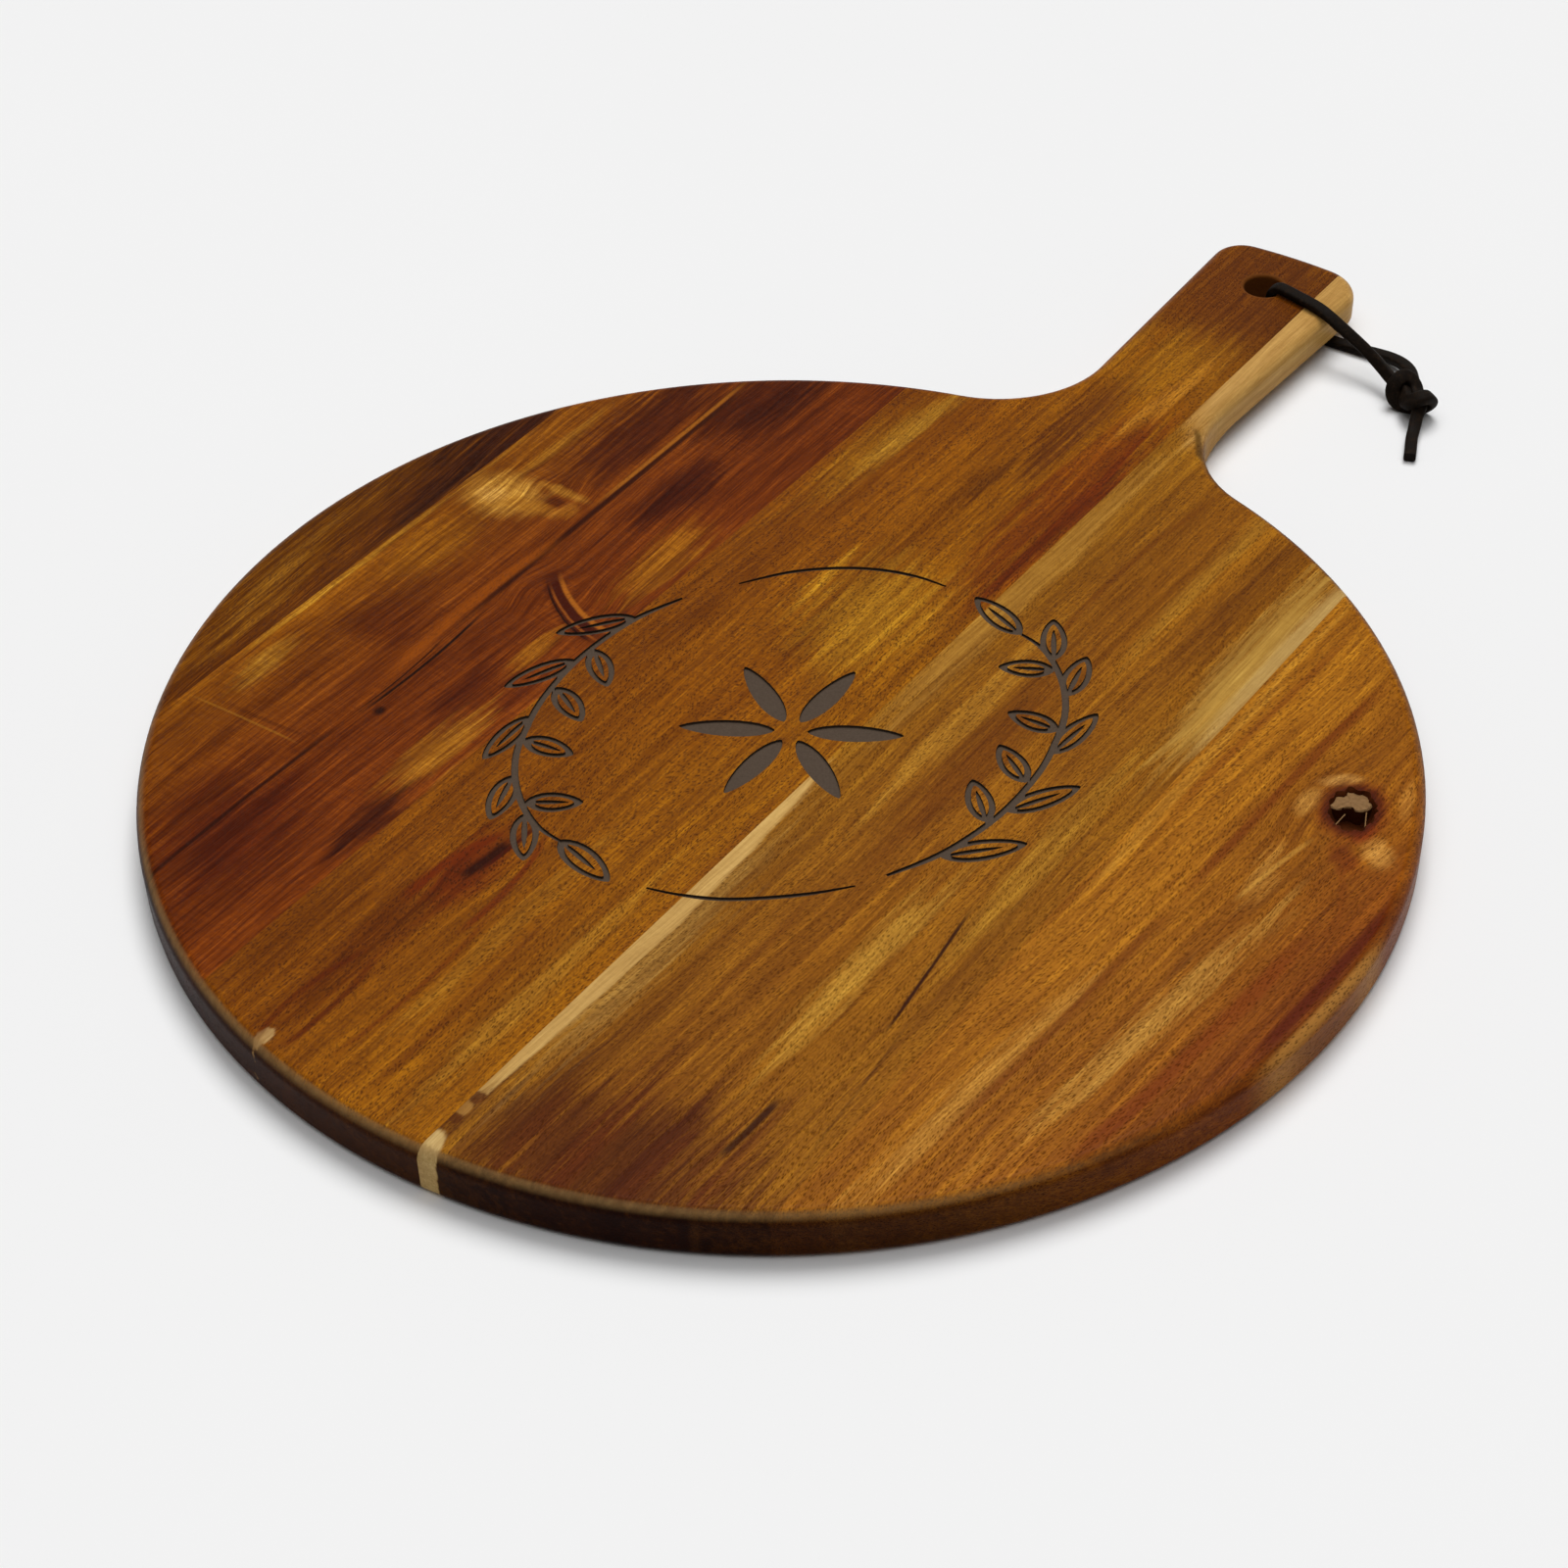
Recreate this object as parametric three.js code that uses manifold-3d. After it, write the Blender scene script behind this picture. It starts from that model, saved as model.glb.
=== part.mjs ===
// Round serving paddle: five edge-glued wooden staves with a handle, and a leather lace tied through
// the hanging hole. Millimetres, +Z up. The origin is the middle of the disc on the underside, and the
// handle points along +Y.
import * as THREE from 'three';
import { mergeVertices } from 'three/addons/utils/BufferGeometryUtils.js';
import Module from 'manifold-3d';

const wasm = await Module();
wasm.setup();

// Board
const DISC_RADIUS = 178;
const SHOULDER_FLAT = 3;
const THICKNESS = 15;
const TOP_ROUND = 4;
const UNDER_ROUND = 2.5;

// Staves: the edge staves are as wide as this at the rim, the middle one lies between these two lines,
// and the other two fill the room that is left
const LEFT_EDGE_WIDTH = 28.6;
const RIGHT_EDGE_WIDTH = 76.5;
const MIDDLE_LEFT_X = -64.5;
const MIDDLE_RIGHT_X = 18.4;
const GLUE_LINES = [
  LEFT_EDGE_WIDTH - DISC_RADIUS,
  MIDDLE_LEFT_X,
  MIDDLE_RIGHT_X,
  DISC_RADIUS - RIGHT_EDGE_WIDTH,
];

// Handle
const HANDLE_X = 2;
const HANDLE_ROOT_HALF = 22;
const HANDLE_TIP_HALF = 26.8;
const HANDLE_TIP_Y = 299;
const NECK_FILLET = 38;
const TIP_ARC = 160;
const TIP_CORNER_LEFT = 11;
const TIP_CORNER_RIGHT = 14.5;

// The handle's underside rises clear of the table between these two places
const HANDLE_LIFT = 3.8;
const LIFT_START_Y = 190;
const LIFT_END_Y = 215;
const LIFT_FADE_Z = 10;

// Hanging hole
const HOLE_X = 0.8;
const HOLE_Y = 275.6;
const HOLE_RADIUS = 6.5;
const HOLE_EASE = 1.2;

// Open knot in the right edge stave
const POCKET_FROM_RIM = 31.2;
const POCKET_X = DISC_RADIUS - POCKET_FROM_RIM;
const POCKET_Y = 59.5;
const POCKET_HALF_WIDTH = 7;
const POCKET_HALF_LENGTH = 8.6;
const POCKET_DEPTH = 7;
const POCKET_FLOOR_SHARE = 0.6;
const POCKET_TURN = THREE.MathUtils.degToRad(29);

// Lace
const LACE_DIAMETER = 3.2;
const LACE_SIDES = 8;
const KNOT_X = 65.4;
const KNOT_Y = 257;
const KNOT_CORE_Z = 5.4;
const KNOT_PITCH = 3.55;
const KNOT_HEADING = THREE.MathUtils.degToRad(-52);

// Lace from the middle of the hole, up, over the handle's right edge and down to the knot
const UPPER_RUN = [
  [3.7, 275.4, 9.7],
  [3.8, 275.4, 12.2],
  [4.7, 275.1, 14.9],
  [7.0, 274.6, 16.7],
  [10.6, 273.9, 16.9],
  [15.2, 272.9, 16.8],
  [19.8, 271.8, 16.8],
  [24.0, 270.6, 16.7],
  [28.2, 269.6, 15.8],
  [32.6, 268.8, 14.2],
  [37.6, 267.9, 12.4],
  [42.6, 266.9, 10.6],
  [47.4, 265.4, 8.9],
  [51.8, 263.6, 7.4],
  [55.6, 261.7, 6.3],
];

// Lace from the middle of the hole, down, under the handle and along the table to the knot
const LOWER_RUN = [
  [3.7, 275.4, 9.3],
  [3.8, 275.5, 6.9],
  [5.1, 275.7, 4.2],
  [8.2, 276.0, 2.1],
  [12.5, 276.3, 1.75],
  [17.5, 276.6, 1.75],
  [22.5, 276.9, 1.75],
  [27.5, 277.2, 1.75],
  [32.5, 277.5, 1.75],
  [37.5, 277.7, 1.8],
  [42.4, 277.9, 2.1],
  [46.8, 277.4, 2.7],
  [50.8, 276.1, 3.4],
  [54.4, 274.2, 4.0],
  [57.5, 271.7, 4.5],
  [60.0, 268.7, 4.8],
  [62.1, 265.2, 5.1],
];

// First half of the overhand knot, in knot pitches: along the lace, across it and up. The second half is
// the same path turned half a turn about the knot's upright axis.
const HALF_KNOT = [
  [-0.8, -0.5, 0],
  [0, -0.52, 0],
  [0.7, -0.56, 0.02],
  [1.3, -0.5, 0.32],
  [1.72, -0.08, 0.8],
  [1.74, 0.52, 1.04],
  [1.42, 1.12, 0.88],
  [1.02, 1.5, 0.32],
  [0.72, 1.44, -0.3],
  [0.4, 0.98, -0.82],
];
const KNOT_MIDDLE = [0, 0, -1.02];
const KNOT_LEAD_IN = [[-2.62, -1.22, 0.2], [-1.7, -0.74, -0.06]];
const KNOT_LEAD_OUT = [[1.6, 0.42, -0.03]];

// Free end of the lace beyond the knot
const TAIL = [
  [71.2, 249.7, 4.2],
  [72.4, 246.0, 2.8],
  [74.1, 240.9, 1.9],
  [76.4, 235.6, 1.75],
  [78.2, 231.4, 1.75],
];

// Tessellation
const DISC_STEPS = 128;
const NECK_STEPS = 10;
const NECK_TRIES = 4;
const CORNER_STEPS = 8;
const TIP_STEPS = 6;
const ROUND_STEPS = 4;
const HOLE_STEPS = 32;
const BIG = 1000;

function toSolid(geometry) {
  const bare = geometry.clone();
  bare.deleteAttribute('normal');
  bare.deleteAttribute('uv');
  const merged = mergeVertices(bare, 1e-4);
  const corners = merged.index.array;
  const kept = [];
  for (let i = 0; i < corners.length; i += 3) {
    const [a, b, c] = [corners[i], corners[i + 1], corners[i + 2]];
    if (a !== b && b !== c && c !== a) {
      kept.push(a, b, c);
    }
  }
  return new wasm.Manifold(new wasm.Mesh({
    numProp: 3,
    vertProperties: new Float32Array(merged.attributes.position.array),
    triVerts: new Uint32Array(kept),
  }));
}

function toGeometry(solid) {
  const mesh = solid.getMesh();
  const geometry = new THREE.BufferGeometry();
  geometry.setAttribute('position', new THREE.BufferAttribute(new Float32Array(mesh.vertProperties), 3));
  geometry.setIndex(new THREE.BufferAttribute(new Uint32Array(mesh.triVerts), 1));
  geometry.computeVertexNormals();
  return geometry;
}

function boxSolid(low, high) {
  const size = high.map((value, axis) => value - low[axis]);
  const box = new THREE.BoxGeometry(...size);
  box.translate(...low.map((value, axis) => value + size[axis] / 2));
  return toSolid(box);
}

function arc(centre, radius, from, to, steps, clockwise = false) {
  return new THREE.EllipseCurve(centre.x, centre.y, radius, radius, from, to, clockwise).getPoints(steps);
}

// From the middle to the rim in a direction: a circle away from the handle, flatter towards it
function rimRadius(angle) {
  const reach = Math.sin(angle) > 0 ? DISC_RADIUS - SHOULDER_FLAT : DISC_RADIUS;
  return 1 / Math.hypot(Math.cos(angle) / DISC_RADIUS, Math.sin(angle) / reach);
}

function rimPoints(from, to, steps) {
  const directions = arc(new THREE.Vector2(), 1, from, to, steps);
  return directions.map((point) => point.setLength(rimRadius(point.angle())));
}

// Neck and tip arcs on one side of the handle, worked out for the right-hand side at a given axis offset
function handleSide(axisX, tipCorner) {
  const flare = Math.atan2(HANDLE_TIP_HALF - HANDLE_ROOT_HALF, HANDLE_TIP_Y - DISC_RADIUS);
  const along = new THREE.Vector2(Math.sin(flare), Math.cos(flare));
  const out = new THREE.Vector2(Math.cos(flare), -Math.sin(flare));
  const edge = out.dot(new THREE.Vector2(axisX + HANDLE_ROOT_HALF, DISC_RADIUS));
  const neckOut = edge + NECK_FILLET;
  const neck = new THREE.Vector2(0, 1);
  for (let i = 0; i < NECK_TRIES; i += 1) {
    const neckAlong = Math.sqrt((rimRadius(neck.angle()) + NECK_FILLET) ** 2 - neckOut ** 2);
    neck.copy(out).multiplyScalar(neckOut).addScaledVector(along, neckAlong);
  }
  const tipCentre = new THREE.Vector2(axisX, HANDLE_TIP_Y - TIP_ARC);
  const cornerOut = edge - tipCorner - out.dot(tipCentre);
  const cornerAlong = Math.sqrt((TIP_ARC - tipCorner) ** 2 - cornerOut ** 2);
  const corner = tipCentre.clone().addScaledVector(out, cornerOut).addScaledVector(along, cornerAlong);
  return { flare, neck, corner, tipCentre };
}

// Half outline from the disc to the tip, for the right-hand side
function halfOutline(axisX, tipCorner) {
  const { flare, neck, corner, tipCentre } = handleSide(axisX, tipCorner);
  const discAngle = neck.angle();
  const cornerAngle = corner.clone().sub(tipCentre).angle();
  return [
    ...rimPoints(-Math.PI / 2, discAngle, DISC_STEPS / 2).slice(0, -1),
    ...arc(neck, NECK_FILLET, discAngle + Math.PI, Math.PI - flare, NECK_STEPS, true),
    ...arc(corner, tipCorner, -flare, cornerAngle, CORNER_STEPS).slice(0, -1),
    ...arc(tipCentre, TIP_ARC, cornerAngle, Math.PI / 2, TIP_STEPS / 2),
  ];
}

function boardOutline() {
  const right = halfOutline(HANDLE_X, TIP_CORNER_RIGHT);
  const left = halfOutline(-HANDLE_X, TIP_CORNER_LEFT)
    .map((point) => new THREE.Vector2(-point.x, point.y))
    .reverse();
  return new THREE.Shape([...right, ...left.slice(1, -1)]);
}

// Whole board with the same rounding on its top and bottom edges
function roundedBoard(round) {
  const geometry = new THREE.ExtrudeGeometry(boardOutline(), {
    depth: THICKNESS - 2 * round,
    bevelThickness: round,
    bevelSize: round,
    bevelOffset: -round,
    bevelSegments: ROUND_STEPS,
    curveSegments: 1,
  });
  geometry.translate(0, 0, round);
  return toSolid(geometry);
}

function underLift(y) {
  return HANDLE_LIFT * THREE.MathUtils.clamp((y - LIFT_START_Y) / (LIFT_END_Y - LIFT_START_Y), 0, 1);
}

// Raises the underside of a solid by the handle's lift, fading out at LIFT_FADE_Z
function lifted(solid) {
  const geometry = toGeometry(solid);
  const position = geometry.attributes.position;
  for (let i = 0; i < position.count; i += 1) {
    const z = position.getZ(i);
    position.setZ(i, z + underLift(position.getY(i)) * (1 - z / LIFT_FADE_Z));
  }
  return toSolid(geometry);
}

function boardBlank() {
  const upper = roundedBoard(TOP_ROUND).intersect(boxSolid([-BIG, -BIG, LIFT_FADE_Z], [BIG, BIG, BIG]));
  const lower = roundedBoard(UNDER_ROUND).intersect(boxSolid([-BIG, -BIG, -BIG], [BIG, BIG, LIFT_FADE_Z]));
  const cuts = [-BIG, LIFT_START_Y, LIFT_END_Y, BIG];
  let blank = upper;
  for (let i = 0; i + 1 < cuts.length; i += 1) {
    const part = lower.intersect(boxSolid([-BIG, cuts[i], -BIG], [BIG, cuts[i + 1], BIG]));
    blank = blank.add(lifted(part));
  }
  return blank;
}

// Solid of revolution about Z from a list of [radius, z] going upwards
function turned(profile, steps) {
  const points = profile.map(([radius, z]) => new THREE.Vector2(radius, z));
  return new THREE.LatheGeometry(points, steps).rotateX(Math.PI / 2);
}

function hangingHole() {
  const wide = HOLE_RADIUS + HOLE_EASE;
  const profile = [
    [0, HANDLE_LIFT - 1],
    [wide, HANDLE_LIFT - 1],
    [wide, HANDLE_LIFT],
    [HOLE_RADIUS + HOLE_EASE * 0.3, HANDLE_LIFT + HOLE_EASE * 0.3],
    [HOLE_RADIUS, HANDLE_LIFT + HOLE_EASE],
    [HOLE_RADIUS, THICKNESS - HOLE_EASE],
    [HOLE_RADIUS + HOLE_EASE * 0.3, THICKNESS - HOLE_EASE * 0.3],
    [wide, THICKNESS],
    [wide, THICKNESS + 1],
    [0, THICKNESS + 1],
  ];
  return toSolid(turned(profile, HOLE_STEPS).translate(HOLE_X, HOLE_Y, 0));
}

function knotPocket() {
  const floor = THICKNESS - POCKET_DEPTH;
  const profile = [
    [0, floor],
    [POCKET_FLOOR_SHARE, floor],
    [1, THICKNESS],
    [1, THICKNESS + 1],
    [0, THICKNESS + 1],
  ];
  const geometry = turned(profile, HOLE_STEPS);
  geometry.scale(POCKET_HALF_WIDTH, POCKET_HALF_LENGTH, 1);
  geometry.rotateZ(POCKET_TURN);
  geometry.translate(POCKET_X, POCKET_Y, 0);
  return toSolid(geometry);
}

// Point of the knot, from knot pitches to millimetres
function knotPoint([along, across, up]) {
  const offset = new THREE.Vector2(along, across).multiplyScalar(KNOT_PITCH);
  offset.rotateAround(new THREE.Vector2(), KNOT_HEADING);
  return [KNOT_X + offset.x, KNOT_Y + offset.y, KNOT_CORE_Z + up * KNOT_PITCH];
}

function knotRun() {
  const second = HALF_KNOT.map(([along, across, up]) => [-along, -across, up]).reverse();
  const turns = [...KNOT_LEAD_IN, ...HALF_KNOT, KNOT_MIDDLE, ...second, ...KNOT_LEAD_OUT];
  return [...turns.map(knotPoint), ...TAIL];
}

function laceGeometry(run, steps) {
  const points = run.map((point) => new THREE.Vector3(...point));
  const section = new THREE.Shape(
    arc(new THREE.Vector2(), LACE_DIAMETER / 2, 0, 2 * Math.PI, LACE_SIDES).slice(0, -1),
  );
  return new THREE.ExtrudeGeometry(section, { steps, extrudePath: new THREE.CatmullRomCurve3(points) });
}

const MIDDLE_WOOD = { color: 0x80541f, roughness: 0.5, metalness: 0 };
const LEATHER = { color: 0x17120e, roughness: 0.7, metalness: 0 };

const STAVES = [
  { name: 'stave_left_edge', look: { ...MIDDLE_WOOD, color: 0x55300f } },
  { name: 'stave_left', look: { ...MIDDLE_WOOD, color: 0x663512 } },
  { name: 'stave_middle', look: MIDDLE_WOOD },
  { name: 'stave_right', look: { ...MIDDLE_WOOD, color: 0x8f6328 } },
  { name: 'stave_right_edge', look: { ...MIDDLE_WOOD, color: 0x8a5a20 } },
];

const LACE = [
  { name: 'lace_upper_run', run: UPPER_RUN, steps: 28 },
  { name: 'lace_lower_run', run: LOWER_RUN, steps: 30 },
  { name: 'lace_knot', run: knotRun(), steps: 76 },
];

const paddle = new THREE.Group();
paddle.name = 'serving_paddle';

function addPiece(name, geometry, look) {
  const mesh = new THREE.Mesh(geometry, new THREE.MeshStandardMaterial(look));
  mesh.name = name;
  paddle.add(mesh);
}

const board = boardBlank().subtract(hangingHole()).subtract(knotPocket());
const edges = [-BIG, ...GLUE_LINES, BIG];
STAVES.forEach(({ name, look }, i) => {
  const slab = boxSolid([edges[i], -BIG, -BIG], [edges[i + 1], BIG, BIG]);
  addPiece(name, toGeometry(board.intersect(slab)), look);
});

LACE.forEach(({ name, run, steps }) => {
  addPiece(name, laceGeometry(run, steps), LEATHER);
});

export default paddle;
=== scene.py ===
"""Dresses the serving paddle: five edge-glued wooden staves with a carved wreath, and a knotted leather lace.

Lengths are in metres unless a name ends in _mm. The origin is the middle of the disc on the underside, the
handle points along +Y and +Z is up.
"""

import logging
import math
from dataclasses import dataclass
from enum import Enum

import bmesh
import bpy
from mathutils import Matrix, Quaternion, Vector, noise


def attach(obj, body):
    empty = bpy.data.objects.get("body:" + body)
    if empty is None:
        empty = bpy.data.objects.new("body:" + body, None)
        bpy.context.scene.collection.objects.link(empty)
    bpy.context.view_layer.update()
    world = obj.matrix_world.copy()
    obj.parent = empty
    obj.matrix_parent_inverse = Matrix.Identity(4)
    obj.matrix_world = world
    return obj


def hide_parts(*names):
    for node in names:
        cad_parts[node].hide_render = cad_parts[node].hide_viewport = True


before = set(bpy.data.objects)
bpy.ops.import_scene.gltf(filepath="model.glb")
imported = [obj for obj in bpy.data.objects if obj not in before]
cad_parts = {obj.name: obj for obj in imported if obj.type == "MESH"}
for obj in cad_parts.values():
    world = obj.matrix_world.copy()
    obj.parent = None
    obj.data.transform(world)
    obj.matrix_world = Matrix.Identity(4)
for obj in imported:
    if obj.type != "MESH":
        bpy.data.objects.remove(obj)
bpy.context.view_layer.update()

MM = 0.001
BODY = "root"
THICKNESS = 15 * MM
OUTSIDE = 1.0
WELD = 0.001 * MM
WOOD_SHEEN = 0.03
MATT_SHEEN = 0.04
log = logging.getLogger("serving_paddle")

Socket = bpy.types.NodeSocket
Colour = tuple[float, float, float, float]
Plan = tuple[tuple[float, float], ...]
Route = tuple[tuple[float, float, float], ...]


def paint(code: str) -> Colour:
    """Turns a six-digit screen colour into the linear colour that the shaders take.

    Args:
        code: the colour as #rrggbb.

    Returns:
        Linear red, green, blue and a full alpha.
    """
    shares = [int(code[i : i + 2], 16) / 255 for i in (1, 3, 5)]
    linear = [s / 12.92 if s <= 0.04045 else ((s + 0.055) / 1.055) ** 2.4 for s in shares]
    return (linear[0], linear[1], linear[2], 1.0)


class Blend(Enum):
    """How one colour is laid over another."""

    COVER = "MIX"
    DARKEN = "MULTIPLY"


class Web:
    """A material's node tree, with one short method for each kind of node that the finishes use."""

    def __init__(self, name: str) -> None:
        """Makes an empty material with its shader.

        Args:
            name: the material's name.
        """
        self.material = bpy.data.materials.new(name)
        self.material.use_nodes = True
        self.tree = self.material.node_tree
        self.tree.nodes.clear()
        self.shader = self.tree.nodes.new("ShaderNodeBsdfPrincipled")
        output = self.tree.nodes.new("ShaderNodeOutputMaterial")
        self.tree.links.new(self.shader.outputs[0], output.inputs["Surface"])

    def plug(self, socket: Socket, value: Socket | float | Colour) -> None:
        """Links a socket to another, or sets its own value.

        Args:
            socket: the input to feed.
            value: an output to link, or the plain value.
        """
        if isinstance(value, bpy.types.NodeSocket):
            self.tree.links.new(value, socket)
        else:
            socket.default_value = value

    def place(self) -> Socket:
        """Gives the point on the piece in millimetres, in the piece's own frame."""
        coordinates = self.tree.nodes.new("ShaderNodeTexCoord")
        mapping = self.tree.nodes.new("ShaderNodeMapping")
        mapping.inputs["Scale"].default_value = (1000, 1000, 1000)
        self.tree.links.new(coordinates.outputs["Object"], mapping.inputs["Vector"])
        return mapping.outputs[0]

    def facing(self) -> tuple[Socket, Socket, Socket]:
        """Gives the surface normal's three parts."""
        geometry = self.tree.nodes.new("ShaderNodeNewGeometry")
        return self.split(geometry.outputs["Normal"])

    def split(self, vector: Socket) -> tuple[Socket, Socket, Socket]:
        """Takes a vector apart.

        Args:
            vector: the vector output.

        Returns:
            Its x, y and z outputs.
        """
        node = self.tree.nodes.new("ShaderNodeSeparateXYZ")
        self.plug(node.inputs[0], vector)
        return node.outputs[0], node.outputs[1], node.outputs[2]

    def join(self, x: Socket | float, y: Socket | float, z: Socket | float) -> Socket:
        """Puts three numbers together as a vector.

        Args:
            x: first part.
            y: second part.
            z: third part.

        Returns:
            The vector output.
        """
        node = self.tree.nodes.new("ShaderNodeCombineXYZ")
        for socket, value in zip(node.inputs, (x, y, z)):
            self.plug(socket, value)
        return node.outputs[0]

    def sum(self, operation: str, *values: Socket | float) -> Socket:
        """Does one piece of arithmetic.

        Args:
            operation: the arithmetic's name, as the Math node has it.
            values: one to three inputs.

        Returns:
            The result's output.
        """
        node = self.tree.nodes.new("ShaderNodeMath")
        node.operation = operation
        for socket, value in zip(node.inputs, values):
            self.plug(socket, value)
        return node.outputs[0]

    def fade(self, value: Socket, start: float, end: float, low: float = 0.0, high: float = 1.0) -> Socket:
        """Goes smoothly from one number to another while a value crosses a range.

        Args:
            value: the value to watch.
            start: where the change begins.
            end: where it is over.
            low: the number before the range.
            high: the number after it.

        Returns:
            The changing number's output.
        """
        node = self.tree.nodes.new("ShaderNodeMapRange")
        node.interpolation_type = "SMOOTHSTEP"
        for socket, setting in zip(node.inputs, (value, start, end, low, high)):
            self.plug(socket, setting)
        return node.outputs[0]

    def grain(self, vector: Socket, scale: float = 1.0, detail: float = 2.0, rough: float = 0.5) -> Socket:
        """Makes soft random variation between 0 and 1.

        Args:
            vector: where on the pattern to look.
            scale: how many features there are to a unit.
            detail: how many finer layers are added.
            rough: how strong the finer layers are.

        Returns:
            The variation's output.
        """
        node = self.tree.nodes.new("ShaderNodeTexNoise")
        self.plug(node.inputs["Vector"], vector)
        node.inputs["Scale"].default_value = scale
        node.inputs["Detail"].default_value = detail
        node.inputs["Roughness"].default_value = rough
        return node.outputs[0]

    def mix(self, share: Socket | float, under: Socket | Colour, over: Socket | Colour,
            blend: Blend = Blend.COVER) -> Socket:
        """Lays one colour over another.

        Args:
            share: how much of the upper colour shows.
            under: the lower colour.
            over: the upper colour.
            blend: how it is laid.

        Returns:
            The mixed colour's output.
        """
        node = self.tree.nodes.new("ShaderNodeMix")
        node.data_type = "RGBA"
        node.blend_type = blend.value
        self.plug(node.inputs[0], share)
        self.plug(node.inputs[6], under)
        self.plug(node.inputs[7], over)
        return node.outputs[2]

    def ramp(self, value: Socket, stops: list[tuple[float, Colour]]) -> Socket:
        """Runs through a row of colours.

        Args:
            value: the place in the row, from 0 to 1.
            stops: places and their colours.

        Returns:
            The colour's output.
        """
        node = self.tree.nodes.new("ShaderNodeValToRGB")
        node.color_ramp.interpolation = "B_SPLINE"
        elements = node.color_ramp.elements
        while len(elements) < len(stops):
            elements.new(1.0)
        for element, (position, colour) in zip(elements, stops):
            element.position = position
            element.color = colour
        self.plug(node.inputs[0], value)
        return node.outputs[0]

    def emboss(self, height: Socket, depth: float, strength: float = 1.0) -> None:
        """Raises the shader's surface by a height pattern.

        Args:
            height: the pattern, from 0 to 1.
            depth: the height of a full 1, in metres.
            strength: how much of it shows.
        """
        node = self.tree.nodes.new("ShaderNodeBump")
        node.inputs["Strength"].default_value = strength
        node.inputs["Distance"].default_value = depth
        self.plug(node.inputs["Height"], height)
        self.plug(self.shader.inputs["Normal"], node.outputs[0])

    def surface(self, colour: Socket, roughness: Socket | float, sheen: float) -> None:
        """Sets the shader's look.

        Args:
            colour: its colour.
            roughness: how matt it is, from 0 to 1.
            sheen: how strongly it mirrors.
        """
        for name, value in (("Base Color", colour), ("Roughness", roughness), ("Specular IOR Level", sheen)):
            self.plug(self.shader.inputs[name], value)


@dataclass(frozen=True)
class Band:
    """A stripe of colour along a stave, at a place across the board."""

    x_mm: float
    colour: str


@dataclass(frozen=True)
class Patch:
    """A soft-edged lighter or darker area of a stave. Its long axis is turned from +Y by turn degrees."""

    x_mm: float
    y_mm: float
    half_width_mm: float
    half_length_mm: float
    colour: str
    strength: float
    turn: float = 0.0
    ragged: float = 2.4
    soft: float = 1.0
    clean: bool = False


@dataclass(frozen=True)
class Vein:
    """A thin streak along the grain, bowed through three places from one end to the other."""

    start_mm: tuple[float, float]
    middle_mm: tuple[float, float]
    end_mm: tuple[float, float]
    half_width_mm: float
    colour: str
    strength: float
    wander_mm: float = 1.2


@dataclass(frozen=True)
class Swirl:
    """A knot that the grain bends round."""

    x_mm: float
    y_mm: float
    reach_mm: float
    stretch: float
    pull: float


@dataclass(frozen=True)
class Figure:
    """Variation that is drawn out along the grain, with its features to a millimetre across and along it."""

    fine: float
    run: float
    shift: float
    detail: float = 3.0
    rough: float = 0.58
    weight: float = 1.0


BENDS = (Figure(0.012, 0.005, 0.0, 1.0, weight=10.0), Figure(0.07, 0.018, 7.0, 2.0, weight=3.0))
EDGES = Figure(0.45, 0.024, 0.0, 4.0, 0.68)
CLOUDS = Figure(0.05, 0.022, 4.0, 2.0)
RIPPLES = Figure(0.15, 0.95, 6.0)
RIBBONS = Figure(0.08, 0.006, 8.0, 1.0)
GROWTH_LINES = (
    Figure(0.1, 0.004, 3.0, weight=1.5),
    Figure(0.45, 0.009, 5.0, weight=1.3),
    Figure(1.1, 0.03, 9.0, weight=1.7),
    Figure(2.4, 0.08, 1.0, weight=2.0),
)


@dataclass
class Spot:
    """What the patterns of a wood know about each place on it, in millimetres."""

    web: Web
    x: Socket
    y: Socket
    z: Socket
    across: Socket
    ragged: Socket | None = None
    clean: Socket | None = None

    def spare(self, value: Socket, start: float, end: float, left: float) -> Socket:
        """Weakens a pattern where the wood is pale sapwood, if it is anywhere.

        Args:
            value: the pattern's strength.
            start: the share of sapwood where this begins.
            end: the share where it is over.
            left: how much of the pattern is left there.

        Returns:
            The weakened strength.
        """
        if self.clean is None:
            return value
        return self.web.sum("MULTIPLY", value, self.web.fade(self.clean, start, end, 1.0, left))


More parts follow.
